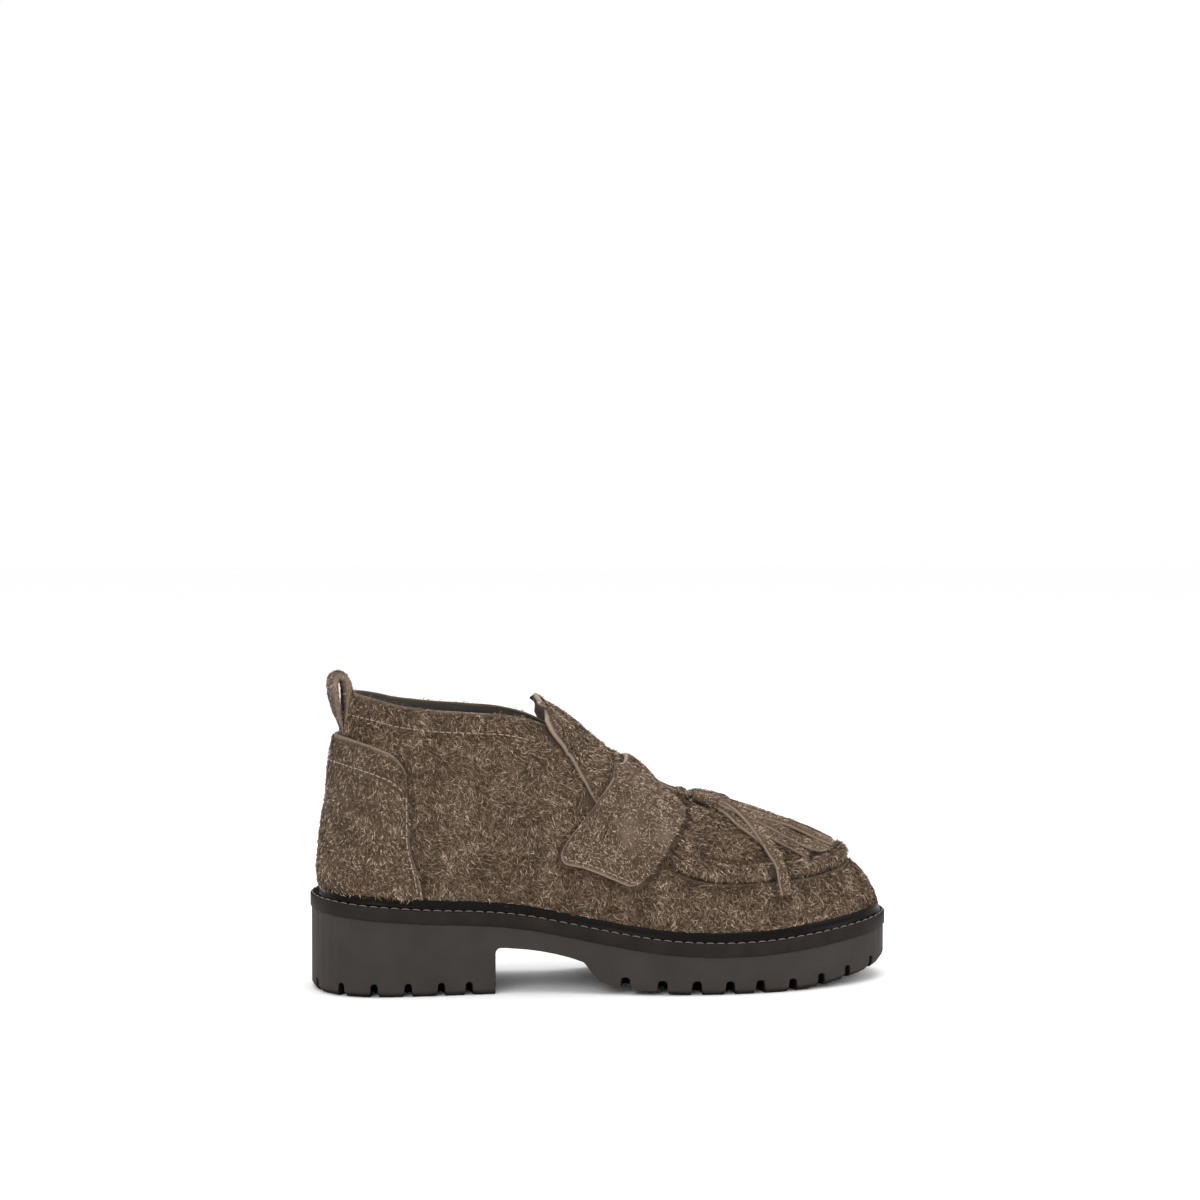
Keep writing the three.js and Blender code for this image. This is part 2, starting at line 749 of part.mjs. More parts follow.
// Where the back of the upper lies at a height, off the centre line by some millimetres
const backs = new Map();

function backAt(across, height) {
  const level = Math.min(height, COLLAR_HEIGHT);
  const key = `${Math.abs(across).toFixed(3)} ${level.toFixed(3)}`;
  if (backs.has(key)) return backs.get(key);
  let low = 0;
  let high = 0.2;
  let point = null;
  for (let i = 0; i < 12; i += 1) {
    const around = (low + high) / 2;
    point = last(around, upAt(around, level - last(around, 0).z));
    if (point.y < Math.abs(across)) low = around;
    else high = around;
  }
  backs.set(key, point.x);
  return point.x;
}

// Pull loop: one band folded over, its feet flat against the quarters under the counter
function pullLoop() {
  const foot = COLLAR_HEIGHT - LOOP_FOOT;
  const row = (above, out) =>
    new THREE.Vector2(GAP + LOOP_DEPTH * out, COLLAR_HEIGHT + LOOP_RISE * above);
  const tuck = LOOP_TUCK / LOOP_DEPTH;
  const bulb = new THREE.SplineCurve([
    row(0.2, 0),
    row(0.54, 0.07),
    row(0.9, 0.345),
    row(0.98, 0.65),
    row(0.66, 0.935),
    row(0.2, 0.97),
    row(-0.3, 0.875),
    row(-0.85, 0.63),
    row(-1.3, 0.415),
    row(-1.7, tuck + 0.05),
    row(-2, tuck),
  ]);
  const inside = steps(foot, COLLAR_HEIGHT, 5).map((level) => new THREE.Vector2(GAP, level));
  const outside = steps(COLLAR_HEIGHT - 2.3 * LOOP_RISE, foot, 3);
  const band = new THREE.Shape([
    ...inside,
    ...bulb.getPoints(18),
    ...outside.map((level) => new THREE.Vector2(GAP + LOOP_TUCK, level)),
  ]);
  const slot = new THREE.SplineCurve([
    row(-1.75, tuck / 2 + 0.01),
    row(-0.9, 0.23),
    row(-0.1, 0.363),
    row(0.4, 0.407),
    row(0.62, 0.496),
    row(0.46, 0.61),
    row(-0.1, 0.566),
    row(-0.9, 0.372),
    row(-1.65, tuck / 2 + 0.045),
  ]);
  band.holes.push(new THREE.Path(slot.getPoints(14).reverse()));
  const geometry = new THREE.ExtrudeGeometry(band, {
    depth: LOOP_WIDTH,
    steps: 3,
    bevelEnabled: false,
  });
  geometry.rotateX(Math.PI / 2).translate(0, LOOP_WIDTH / 2, 0);
  const position = geometry.getAttribute("position");
  for (let i = 0; i < position.count; i += 1) {
    const back = backAt(position.getY(i), position.getZ(i));
    position.setX(i, back - position.getX(i));
  }
  return solid(geometry);
}

addPiece("pull_loop", pullLoop(), 0x7a6856, 0.95);

// Counter: the patch round the heel, with room for the loop's feet at its top
const COUNTER_ROUND = 0.3;

function counterLift(around, up) {
  const point = last(around, up);
  const beside = LOOP_WIDTH / 2 + 2 * GAP;
  const middle = 1 - smoothstep(Math.abs(point.y), beside, beside + LOOP_SETTLE);
  const foot = COLLAR_HEIGHT - LOOP_FOOT;
  const height = smoothstep(point.z, foot - LOOP_SETTLE, foot - 0.35 * LOOP_SETTLE);
  return GAP + (LOOP_TUCK + GAP) * middle * height;
}

function counter() {
  const bottom = RAND_HEIGHT + GAP;
  const rows = steps(-COUNTER_ROUND, COUNTER_ROUND, 20).map((around) => {
    const low = upAt(around, bottom);
    return [...steps(low, 0.6, 4), 0.65, 0.69, 0.74, 0.81, 0.9].map((up) => [around, up]);
  });
  const outer = patch(last, rows, (a, u) => counterLift(a, u) + COUNTER_WALL);
  const inner = patch(last, rows, counterLift);
  const x = (share) => share * LENGTH;
  const z = (share) => share * COLLAR_HEIGHT;
  const side = rounded([
    [x(-0.05), z(0.2), 0],
    [x(0.188), z(0.2), 0],
    [x(0.184), z(0.34), 0.5 * COUNTER_CORNER],
    [x(0.166), z(0.47), COUNTER_CORNER],
    [x(0.158), z(0.785), COUNTER_CORNER],
    [x(0.1), z(0.83), 0.6 * COUNTER_CORNER],
    [x(0.043), z(0.855), 0.5 * COUNTER_CORNER],
    [x(-0.05), z(0.857), 0],
  ]);
  return sheet(outer, inner).intersect(acrossFoot(side));
}

addPiece("counter", counter(), 0x69584a, 0.95);

// Tongue: a stiff flap over the throat, its front end sewn down under the strap
function tongueRow(around) {
  const { edge } = TONGUE(around);
  return steps(-1, 1, 12).map((across) => {
    const place = across < 0 ? -around : around;
    return [place, 1 - Math.abs(across) * (1 - edge)];
  });
}

function tongue() {
  const rows = steps(TONGUE_TIP, TONGUE_END, 12).map(tongueRow);
  const inner = patch(dressedLast, rows, () => SHEET_GAP);
  const outer = patch(dressedLast, rows, () => SHEET_GAP + TONGUE_WALL);
  return sheet(outer, inner);
}

addPiece("tongue", tongue(), 0x69584a, 0.95);

// Saddle strap: the band across the instep, over the tongue and down to the vamp
function strapLift(around, up) {
  const t = Math.abs(around);
  const { edge } = TONGUE(clamp(t, TONGUE_TIP, TONGUE_END));
  const beyond = 1 - smoothstep(t, TONGUE_END + 0.004, TONGUE_END + 0.022);
  const above = smoothstep(up, edge - 0.12, edge - 0.035);
  const seam = 1.15 * rollLift(around, up);
  const tongueUnder = (TONGUE_WALL + SHEET_GAP + STRAP_SLACK) * beyond * above;
  return SHEET_GAP + Math.max(tongueUnder, seam);
}

function saddleStrap() {
  const lowest = 0.16;
  const rows = steps(0.44, 0.65, 15).map((around) =>
    steps(-1, 1, 18).map((across) => {
      const place = across < 0 ? -around : around;
      return [place, 1 - Math.abs(across) * (1 - lowest)];
    }),
  );
  const inner = patch(dressedLast, rows, strapLift);
  const outer = patch(dressedLast, rows, (a, u) => strapLift(a, u) + STRAP_WALL);
  const x = (share) => share * LENGTH;
  const z = (share) => share * INSTEP_HEIGHT;
  const side = rounded([
    [x(0.411), z(0.558), 1.1 * STRAP_CORNER],
    [x(0.5425), z(0.444), 0.9 * STRAP_CORNER],
    [x(0.646), z(0.765), 0.6 * STRAP_CORNER],
    [x(0.646), z(1.3), 0],
    [x(0.6), z(1.3), 0],
    [x(0.5445), z(1), 0],
    [x(0.48), z(0.79), 2.4 * STRAP_CORNER],
    [x(0.425), z(0.64), 1.2 * STRAP_CORNER],
  ]);
  const y = (share) => CREST_SHIFT + share * BALL_WIDTH;
  const plan = rounded([
    [x(0.3), y(-0.8), 0],
    [x(0.644), y(-0.8), 0],
    [x(0.644), y(-0.185), 1.4 * STRAP_CORNER],
    [x(0.583), y(0), 0.3 * STRAP_CORNER],
    [x(0.644), y(0.185), 1.4 * STRAP_CORNER],
    [x(0.644), y(0.8), 0],
    [x(0.3), y(0.8), 0],
  ]);
  return sheet(outer, inner).intersect(acrossFoot(side)).intersect(upThrough(plan));
}

addPiece("saddle_strap", saddleStrap(), 0x6f5e4f, 0.95);

// The vamp's own height under a plan point, from its triangles
const vamp = [];
{
  const rows = ROUND.filter((around) => Math.abs(around) >= THROAT);
  const points = rows.map((around) =>
    outerRows(around).map((up) => skin(last, around, up, rollLift(around, up))),
  );
  for (let i = 0; i + 1 < rows.length; i += 1) {
    if (rows[i] * rows[i + 1] < 0) continue;
    for (let j = 0; j + 1 < points[i].length; j += 1) {
      const [a, b] = [points[i][j], points[i + 1][j]];
      const [d, c] = [points[i][j + 1], points[i + 1][j + 1]];
      vamp.push(new THREE.Triangle(a, b, c), new THREE.Triangle(a, c, d));
    }
  }
}

function onVamp(x, y) {
  let best = null;
  for (const triangle of vamp) {
    const { a, b, c } = triangle;
    const area = (b.x - a.x) * (c.y - a.y) - (c.x - a.x) * (b.y - a.y);
    if (Math.abs(area) < 1e-9) continue;
    const p = ((x - a.x) * (c.y - a.y) - (c.x - a.x) * (y - a.y)) / area;
    const q = ((b.x - a.x) * (y - a.y) - (x - a.x) * (b.y - a.y)) / area;
    if (p < -1e-6 || q < -1e-6 || p + q > 1 + 1e-6) continue;
    const z = a.z + p * (b.z - a.z) + q * (c.z - a.z);
    if (best && best.point.z >= z) continue;
    const normal = triangle.getNormal(new THREE.Vector3());
    if (normal.z < 0) normal.negate();
    best = { point: new THREE.Vector3(x, y, z), normal };
  }
  return best;
}

// Spots on the vamp along a plan route, each point with its own lift
function planSpots(route) {
  return route.map(({ x, y, lift }) => {
    const { point, normal } = onVamp(x, y);
    return { normal, point: point.addScaledVector(normal, lift) };
  });
}

// A flat strip through spots that know which way is up
function ribbon(spots, width, wall) {
  const rows = spots.map(({ point, normal }, i) => {
    const before = spots[Math.max(i - 1, 0)].point;
    const after = spots[Math.min(i + 1, spots.length - 1)].point;
    const across = after.clone().sub(before).cross(normal).setLength(width / 2);
    const up = normal.clone().setLength(wall / 2);
    const corner = (a, u) => point.clone().addScaledVector(across, a).addScaledVector(up, u);
    return [corner(-1, -1), corner(1, -1), corner(1, 1), corner(-1, 1)];
  });
  const faces = new Faces();
  for (let i = 0; i + 1 < rows.length; i += 1) {
    faces.strip([...rows[i], rows[i][0]], [...rows[i + 1], rows[i + 1][0]]);
  }
  const finish = rows[rows.length - 1];
  faces.quad(rows[0][3], rows[0][2], rows[0][1], rows[0][0]);
  faces.quad(finish[0], finish[1], finish[2], finish[3]);
  return solid(faces.geometry());
}

// Thong: it comes out of the strap's notch and ends in the knot that holds both tassels
const KNOT_AT = 0.637 * LENGTH;

function thong() {
  const from = 0.594 * LENGTH;
  const base = GAP + THONG_WALL / 2;
  const route = steps(from, KNOT_AT, 4).map((x) => ({ x, y: CREST_SHIFT, lift: base }));
  const knot = new THREE.SphereGeometry(1, 10, 6);
  const under = onVamp(KNOT_AT, CREST_SHIFT);
  const tall = 0.75 * THONG_WALL;
  knot.scale(KNOT, 1.1 * THONG_WIDTH, tall);
  knot.rotateY(Math.atan2(under.normal.x, under.normal.z));
  const seat = under.point.addScaledVector(under.normal, tall + GAP);
  knot.translate(seat.x, seat.y, seat.z);
  return ribbon(planSpots(route), THONG_WIDTH, THONG_WALL).add(solid(knot));
}

addPiece("tassel_thong", thong(), 0x46392d, 0.95);

// A tassel: a rolled head and its fringe. Rows give where each strip ends, along the sole and
// across from the crest, how far it bows in strip widths, and how many layers up it starts and ends
const OUTER_STRIPS = [
  [0.9, -0.03, 0, 1.4, 0.9],
  [0.899, -0.066, -0.25, 0.4, 0.1],
  [0.896, -0.104, -0.5, 1.5, 0.9],
  [0.89, -0.143, -0.7, 0.5, 0.1],
  [0.879, -0.184, -0.95, 1.3, 0.7],
  [0.845, -0.235, -0.7, 0.3, 0.1],
  [0.79, -0.29, -0.5, 0.2, 0.1],
];
const INNER_STRIPS = [
  [0.9, 0.034, 0, 1.3, 0.9],
  [0.9, 0.072, 0.25, 0.4, 0.1],
  [0.897, 0.112, 0.5, 1.4, 0.8],
  [0.89, 0.153, 0.7, 0.4, 0.1],
  [0.876, 0.196, 0.95, 1.2, 0.6],
  [0.845, 0.25, 0.95, 0.3, 0.1],
  [0.8, 0.3, 0.7, 0.2, 0.1],
];

function tassel(strips, side) {
  const headFrom = KNOT_AT + KNOT + 2 * GAP;
  const centre = CREST_SHIFT + side * (HEAD_WIDTH / 2 + GAP);
  const barrel = [
    [0, 0],
    [0.3, 0.03],
    [0.36, 0.12],
    [0.46, 0.35],
    [0.5, 0.7],
    [0.44, 0.93],
    [0.3, 1],
    [0, 1],
  ].map(([out, along]) => new THREE.Vector2(out * HEAD_WIDTH, along * HEAD_LENGTH));
  const head = new THREE.LatheGeometry(barrel, 9).rotateZ(-Math.PI / 2);
  head.scale(1, 1, HEAD_HEIGHT / HEAD_WIDTH);
  const under = onVamp(headFrom + HEAD_LENGTH / 2, centre);
  head.rotateY(Math.atan2(under.normal.x, under.normal.z));
  const seat = onVamp(headFrom, centre).point;
  seat.addScaledVector(under.normal, HEAD_HEIGHT / 2 + SHEET_GAP);
  head.translate(headFrom, seat.y, seat.z);
  let bunch = solid(head);
  strips.forEach(([endAlong, endAcross, bow, high, low], i) => {
    const fan = strips.length > 1 ? i / (strips.length - 1) - 0.2 : 0;
    const from = new THREE.Vector2(
      headFrom + 0.6 * HEAD_LENGTH,
      centre + side * 0.28 * HEAD_WIDTH * clamp(fan, -0.5, 0.6),
    );
    const to = new THREE.Vector2(endAlong * LENGTH, CREST_SHIFT + endAcross * BALL_WIDTH);
    const away = to.clone().sub(from).rotateAround(new THREE.Vector2(), Math.PI / 2).normalize();
    const route = steps(0, 1, 5).map((share) => {
      const spot = from.clone().lerp(to, share);
      spot.addScaledVector(away, bow * STRIP_WIDTH * 4 * share * (1 - share));
      const layer = lerp(high, low, smoothstep(share, 0.15, 0.8));
      const lift = SHEET_GAP + STRIP_WALL * (0.5 + layer);
      return { x: spot.x, y: spot.y, lift };
    });
    bunch = bunch.add(ribbon(planSpots(route), STRIP_WIDTH, STRIP_WALL));
  });
  return bunch;
}

// One strip of the outer tassel has slipped off the apron and hangs down the vamp's side: its
// lift is in strip thicknesses
const SLIPPED = table("share around up lift", [
  [0, 0.672, 0.95, 1.75],
  [0.3, 0.69, 0.82, 2.25],
  [0.6, 0.706, 0.62, 1.45],
  [0.8, 0.709, 0.45, 2],
  [1, 0.712, 0.26, 0.65],
]);

function slippedStrip() {
  const spots = steps(0, 1, 10).map((share) => {
    const { around, up, lift } = SLIPPED(share);
    const point = skin(last, -around, up, GAP + rollLift(-around, up) + lift * STRIP_WALL);
    const normal = point.clone().sub(skin(last, -around, up, NUDGE)).normalize();
    return { point, normal };
  });
  return ribbon(spots, STRIP_WIDTH, STRIP_WALL);
}

const tasselOuter = shellOf(tassel(OUTER_STRIPS, -1).add(slippedStrip()));
addPiece("tassel_outer", tasselOuter, 0x6f5e4f, 0.95);
addPiece("tassel_inner", shellOf(tassel(INNER_STRIPS, 1)), 0x6f5e4f, 0.95);

// The origin lies on the ground under the middle of the boot
const bounds = new THREE.Box3().setFromObject(boot);
const middle = bounds.getCenter(new THREE.Vector3());
boot.position.set(-middle.x, -middle.y, 0);

export default boot;
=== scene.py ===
from math import cos, pi, radians, sin
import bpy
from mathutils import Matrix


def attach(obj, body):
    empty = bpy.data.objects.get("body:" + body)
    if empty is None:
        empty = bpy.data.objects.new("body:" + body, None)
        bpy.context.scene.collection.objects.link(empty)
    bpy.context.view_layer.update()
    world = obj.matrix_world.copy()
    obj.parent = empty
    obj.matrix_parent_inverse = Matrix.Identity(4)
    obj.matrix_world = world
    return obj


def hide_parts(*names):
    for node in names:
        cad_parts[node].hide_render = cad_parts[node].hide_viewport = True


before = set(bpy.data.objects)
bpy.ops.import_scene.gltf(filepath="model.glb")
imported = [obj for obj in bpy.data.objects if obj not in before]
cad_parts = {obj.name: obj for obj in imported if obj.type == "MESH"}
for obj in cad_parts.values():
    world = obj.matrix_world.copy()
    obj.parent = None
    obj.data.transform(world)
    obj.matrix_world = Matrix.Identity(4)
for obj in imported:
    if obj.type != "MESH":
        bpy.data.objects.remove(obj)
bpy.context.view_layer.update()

from types import SimpleNamespace

import bmesh
import bpy
import numpy as np
from mathutils import Vector
from mathutils.bvhtree import BVHTree
from mathutils.kdtree import KDTree

# Camera, light and floor
# The boot stands empty on a pale floor under soft studio light. It is seen from its outer side,
# turned a little towards the heel, by a long lens just above the collar.
camera_turn = radians(7)
camera_distance = 1.3
camera_height = 0.243
aim = Vector((-0.0005, -0.0024, 0.184))


def put(name, data):
    """A new object in the scene."""
    thing = bpy.data.objects.new(name, data)
    bpy.context.collection.objects.link(thing)
    return thing


def turned_to(target, place):
    """The turn of a camera or a lamp that looks from its place at a target."""
    return (Vector(target) - Vector(place)).to_track_quat("-Z", "Y").to_euler()


camera_data = bpy.data.cameras.new("camera")
camera_data.lens = 81
camera_data.sensor_width = 36
camera = put("camera", camera_data)
camera.location = (
    -camera_distance * sin(camera_turn),
    aim.y - camera_distance * cos(camera_turn),
    camera_height,
)
camera.rotation_euler = turned_to(aim, camera.location)
bpy.context.scene.camera = camera
bpy.context.scene.view_settings.view_transform = "Standard"


def softbox(name, place, target, width, height, watts):
    """A lamp with a wide, soft face."""
    lamp = bpy.data.lights.new(name, "AREA")
    lamp.shape = "RECTANGLE"
    lamp.size = width
    lamp.size_y = height
    lamp.energy = watts
    holder = put(name, lamp)
    holder.location = place
    holder.rotation_euler = turned_to(target, place)


softbox("top_light", (0.1, 0.1, 1.3), (0, 0, 0), 1.3, 1.0, 10)
softbox("front_light", (-0.7, -1.2, 0.9), (0, 0, 0.06), 0.9, 0.7, 7)
softbox("toe_light", (1.1, -0.5, 0.7), (0.05, 0, 0.06), 0.6, 0.6, 3)

sky = bpy.data.worlds.new("studio")
sky.use_nodes = True
sky.node_tree.nodes["Background"].inputs["Color"].default_value = (1, 1, 1, 1)
sky.node_tree.nodes["Background"].inputs["Strength"].default_value = 1.0
bpy.context.scene.world = sky


def new_material(name, colour, roughness):
    """A principled material with its constant colour and roughness, and its nodes to build on."""
    material = bpy.data.materials.new(name)
    material.use_nodes = True
    nodes = material.node_tree.nodes
    shader = nodes["Principled BSDF"]
    shader.inputs["Base Color"].default_value = (*colour, 1)
    shader.inputs["Roughness"].default_value = roughness
    return SimpleNamespace(
        material=material, nodes=nodes, links=material.node_tree.links, shader=shader
    )


def noise(kit, scale, detail=3.0, stretch=(1, 1, 1)):
    """Noise over the boot's own coordinates, in metres."""
    place = kit.nodes.new("ShaderNodeTexCoord")
    mapping = kit.nodes.new("ShaderNodeMapping")
    mapping.inputs["Scale"].default_value = stretch
    texture = kit.nodes.new("ShaderNodeTexNoise")
    texture.inputs["Scale"].default_value = scale
    texture.inputs["Detail"].default_value = detail
    kit.links.new(place.outputs["Object"], mapping.inputs["Vector"])
    kit.links.new(mapping.outputs["Vector"], texture.inputs["Vector"])
    return texture.outputs["Fac"]


def shades(kit, value, stops):
    """Colours along a value, as a ramp of (place, colour)."""
    ramp = kit.nodes.new("ShaderNodeValToRGB")
    elements = ramp.color_ramp.elements
    while len(elements) < len(stops):
        elements.new(0.5)
    for element, (place, colour) in zip(elements, stops):
        element.position = place
        element.color = (*colour, 1)
    kit.links.new(value, ramp.inputs["Fac"])
    return ramp.outputs["Color"]


def bump(kit, height, depth, strength=1.0, under=None):
    """Fine relief of a depth in metres, on top of the relief under it."""
    node = kit.nodes.new("ShaderNodeBump")
    node.inputs["Distance"].default_value = depth
    node.inputs["Strength"].default_value = strength
    kit.links.new(height, node.inputs["Height"])
    if under is not None:
        kit.links.new(under, node.inputs["Normal"])
    return node.outputs["Normal"]


floor_mesh = bpy.data.meshes.new("floor")
floor_reach = 6
floor_corners = ((-1, -1), (1, -1), (1, 1), (-1, 1))
floor_mesh.from_pydata(
    [(floor_reach * x, floor_reach * y, 0) for x, y in floor_corners], [], [(0, 1, 2, 3)]
)
floor = put("floor", floor_mesh)
floor_mesh.materials.append(new_material("floor_white", (0.99, 0.99, 0.99), 0.8).material)

# Sole unit
# One piece of dark brown-grey moulded rubber: a block heel and a forefoot with deep lugs, and a
# plain arch between them. Its moulded edges are all a little soft, and its sides are matt.
MM = 0.001
LENGTH = 280.0
BALL_WIDTH = 104.0
HEEL_WIDTH = 74.0
HEEL_ROUND = 36.0
TOE_ROUND = 86.0
TOE_SWING = 5.0
MOULD_CELL = 0.00045
MOULD_FACES_KEPT = 0.125
GROOVES_BELOW = 30.0


def table(heading, rows):
    """A smooth curve through the rows, read by the first column and answered by name."""
    names = heading.split()[1:]
    data = np.array(rows, float)
    at, values = data[:, 0], data[:, 1:]
    span = np.diff(at)[:, None]
    rate = np.diff(values, axis=0) / span
    slope = np.vstack([rate[:1], np.zeros_like(rate[1:]), rate[-1:]])
    even = (span[1:] * rate[:-1] + span[:-1] * rate[1:]) / (span[1:] + span[:-1])
    slope[1:-1] = np.where(rate[:-1] * rate[1:] > 0, even, 0)

    def read(x):
        x = np.clip(np.asarray(x, float), at[0], at[-1])
        i = np.clip(np.searchsorted(at, x, "right") - 1, 0, len(at) - 2)
        s = ((x - at[i]) / span[i, 0])[..., None]
        level = values[i] + (values[i + 1] - values[i]) * s * s * (3 - 2 * s)
        bend = span[i] * (s * (1 - s) ** 2 * slope[i] + s * s * (s - 1) * slope[i + 1])
        answer = level + bend
        return SimpleNamespace(**{name: answer[..., n] for n, name in enumerate(names)})

    return read


def smooth(x, low, high):
    """From 0 to 1 between two values, level at both."""
    s = np.clip((np.asarray(x, float) - low) / (high - low), 0, 1)
    return s * s * (3 - 2 * s)


# Half of the sole on each side, as shares of its full width there
PLAN = table("along outer inner", [
    (0, 0.49, 0.49), (0.15, 0.5, 0.5), (0.28, 0.475, 0.455), (0.4, 0.435, 0.375),
    (0.5, 0.44, 0.37), (0.6, 0.475, 0.43), (0.7, 0.495, 0.49), (0.8, 0.485, 0.5),
    (0.9, 0.46, 0.48), (1, 0.44, 0.45),
])


def round_end(distance, reach, power):
    """Share of the full width that is left at a distance from a rounded end."""
    short = np.clip((reach - distance) / reach, 0, 1)
    return (1 - short**power) ** (1 / power)


def plan_point(t, side):
    """Rim of the sole in plan: t is 0 at the heel and 1 at the toe, side -1 is the outer one."""
    t, side = np.broadcast_arrays(t, side)
    x = LENGTH * (1 - np.cos(pi * t)) / 2
    width = HEEL_WIDTH + (BALL_WIDTH - HEEL_WIDTH) * smooth(x / LENGTH, 0.3, 0.62)
    row = PLAN(x / LENGTH)
    ends = round_end(x, HEEL_ROUND, 2.2) * round_end(LENGTH - x, TOE_ROUND, 2.35)
    half = np.where(side < 0, row.outer, row.inner) * width * ends
    return np.stack([x, TOE_SWING * smooth(x / LENGTH, 0.45, 1) + side * half], -1)


def unit(vectors):
    return vectors / np.maximum(np.linalg.norm(vectors, axis=-1, keepdims=True), 1e-9)


def plan_normal(t, side):
    """Outwards from the rim, level."""
    reach = 1e-4
    run = plan_point(np.minimum(t + reach, 1), side) - plan_point(np.maximum(t - reach, 0), side)
    out = unit(np.stack([-side * run[..., 1], side * run[..., 0]], -1))
    out = np.where((t < 1e-6)[..., None], (-1.0, 0.0), out)
    return np.where((t > 1 - 1e-6)[..., None], (1.0, 0.0), out)


def outline(t, side, inset):
    """The rim, set in by some millimetres."""
    return plan_point(t, side) - plan_normal(t, side) * np.asarray(inset)[..., None]


rim = plan_point(np.linspace(0, 1, 600), np.array([[-1.0], [1.0]]))
# The frame's origin is under the middle of the boot
TO_FRAME = np.array([-LENGTH / 2, -(rim[..., 1].min() + rim[..., 1].max()) / 2, 0])


def rides(thing, slot_name, *nodes):
    """Every piece rides on the one body, and may stand for nodes of the frame. Its slot name is not
    used.
    """
    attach(thing, "root")
    if nodes:
        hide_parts(*nodes)


def marked(kit, mark):
    """A value that is written on the points of the mesh."""
    node = kit.nodes.new("ShaderNodeAttribute")
    node.attribute_name = mark
    return node.outputs["Fac"]


def mark_points(mesh, mark, values):
    """Writes a value on each point of a mesh."""
    mesh.attributes.new(mark, "FLOAT", "POINT")
    mesh.attributes[mark].data.foreach_set("value", np.asarray(values, np.float32))


def blend_colours(kit, amount, first, second, kind="MIX"):
    """Two colours blended. The amount and the second colour may be constants."""
    mix = kit.nodes.new("ShaderNodeMix")
    mix.data_type = "RGBA"
    mix.blend_type = kind
    kit.links.new(first, mix.inputs[6])
    for value, socket in ((amount, mix.inputs[0]), (second, mix.inputs[7])):
        if isinstance(value, bpy.types.NodeSocket):
            kit.links.new(value, socket)
        else:
            socket.default_value = value
    return mix.outputs[2]


def feed(kit, socket, output):
    """Gives an input of the material's shader its value from a node."""
    kit.links.new(output, kit.shader.inputs[socket])


rubber = new_material("sole_rubber", (0.033, 0.028, 0.025), 0.7)
rubber_cloud = shades(rubber, noise(rubber, 60, 4), [
    (0.25, (0.0275, 0.023, 0.0205)), (0.75, (0.0385, 0.0325, 0.029)),
])
# Near-black painted shade for the grooves between the lugs and the faces behind the sides
groove_painted_shade = (0.0035, 0.003, 0.0027, 1)
feed(rubber, "Base Color", blend_colours(rubber, marked(rubber, "recess_shade"), rubber_cloud, groove_painted_shade))
rubber_grain = bump(rubber, noise(rubber, 900, 3), 0.0003, 0.6)
feed(rubber, "Normal", bump(rubber, noise(rubber, 90, 2), 0.0005, 0.25, rubber_grain))
rubber.shader.inputs["Specular IOR Level"].default_value = 0.15

sole_unit = put("sole_unit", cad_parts["outsole"].data.copy())
sole_unit.data.materials.clear()
mould = sole_unit.modifiers.new("mould", "REMESH")
mould.mode = "VOXEL"
mould.voxel_size = MOULD_CELL
mould.use_smooth_shade = True
ease = sole_unit.modifiers.new("ease", "SMOOTH")
ease.factor = 0.5
ease.iterations = 1
thin = sole_unit.modifiers.new("thin", "DECIMATE")
thin.ratio = MOULD_FACES_KEPT
with_modifiers = sole_unit.evaluated_get(bpy.context.evaluated_depsgraph_get())
moulded = bpy.data.meshes.new_from_object(with_modifiers)
sole_unit.modifiers.clear()
sole_unit.data = moulded
sole_unit.data.materials.append(rubber.material)
rides(sole_unit, "sole_rubber", "outsole")

# The grooves between the lugs, and all that lies behind the sides, get painted shade: their colour is
# blended towards near black
rim_tree = KDTree(rim.shape[0] * rim.shape[1])
for index, (x, y) in enumerate(rim.reshape(-1, 2)):
    rim_tree.insert((x, y, 0), index)
rim_tree.balance()
recess_shade = []
for vertex in sole_unit.data.vertices:
    x, y, z = np.array(vertex.co) / MM - TO_FRAME
    away = rim_tree.find((x, y, 0))[2]
    recess_shade.append(smooth(away, 0.95, 1.6) if z < GROOVES_BELOW else 0.0)
mark_points(sole_unit.data, "recess_shade", recess_shade)

# Welt band
# The rubber band on top of the unit, a little darker and a little proud of it. The top face is
# cross-ribbed like a stitched welt, and light stitches lie along its rim.
HEEL_HEIGHT = 45.5
BALL_HEIGHT = 24.4
TOE_LIFT = 8.0
BAND = 6.0
BAND_DEPTH = 14.0
BAND_EDGE = 0.9
BAND_FOOT = 0.2
BAND_LAP = 0.3
GAP = 0.3
RIB_PITCH = 1.15
RIB_DEPTH = 0.42
# The welt's fall from heel to ball, and its lift at the toe, both as shares
WELT_LINE = table("along heel toe", [
    (0, 1, 0), (0.1, 0.872, 0), (0.2, 0.768, 0), (0.29, 0.701, 0), (0.36, 0.592, 0),
    (0.42, 0.445, 0), (0.5, 0.246, 0), (0.57, 0.104, 0), (0.64, 0.024, 0), (0.7, 0, 0),
    (0.76, 0, 0.05), (0.84, 0, 0.275), (0.92, 0, 0.6), (1, 0, 1),
])


def welt_height(x):
    """Height of the welt's top face along the boot."""
    line = WELT_LINE(np.asarray(x) / LENGTH)
    return BALL_HEIGHT + (HEEL_HEIGHT - BALL_HEIGHT) * line.heel + TOE_LIFT * line.toe


def grid_faces(rows, columns, start=0):
    """Quads over a grid of points, row by row."""
    i, j = np.meshgrid(np.arange(rows - 1), np.arange(columns - 1), indexing="ij")
    corner = start + i * columns + j
    return np.stack([corner, corner + 1, corner + columns + 1, corner + columns], -1).reshape(-1, 4)


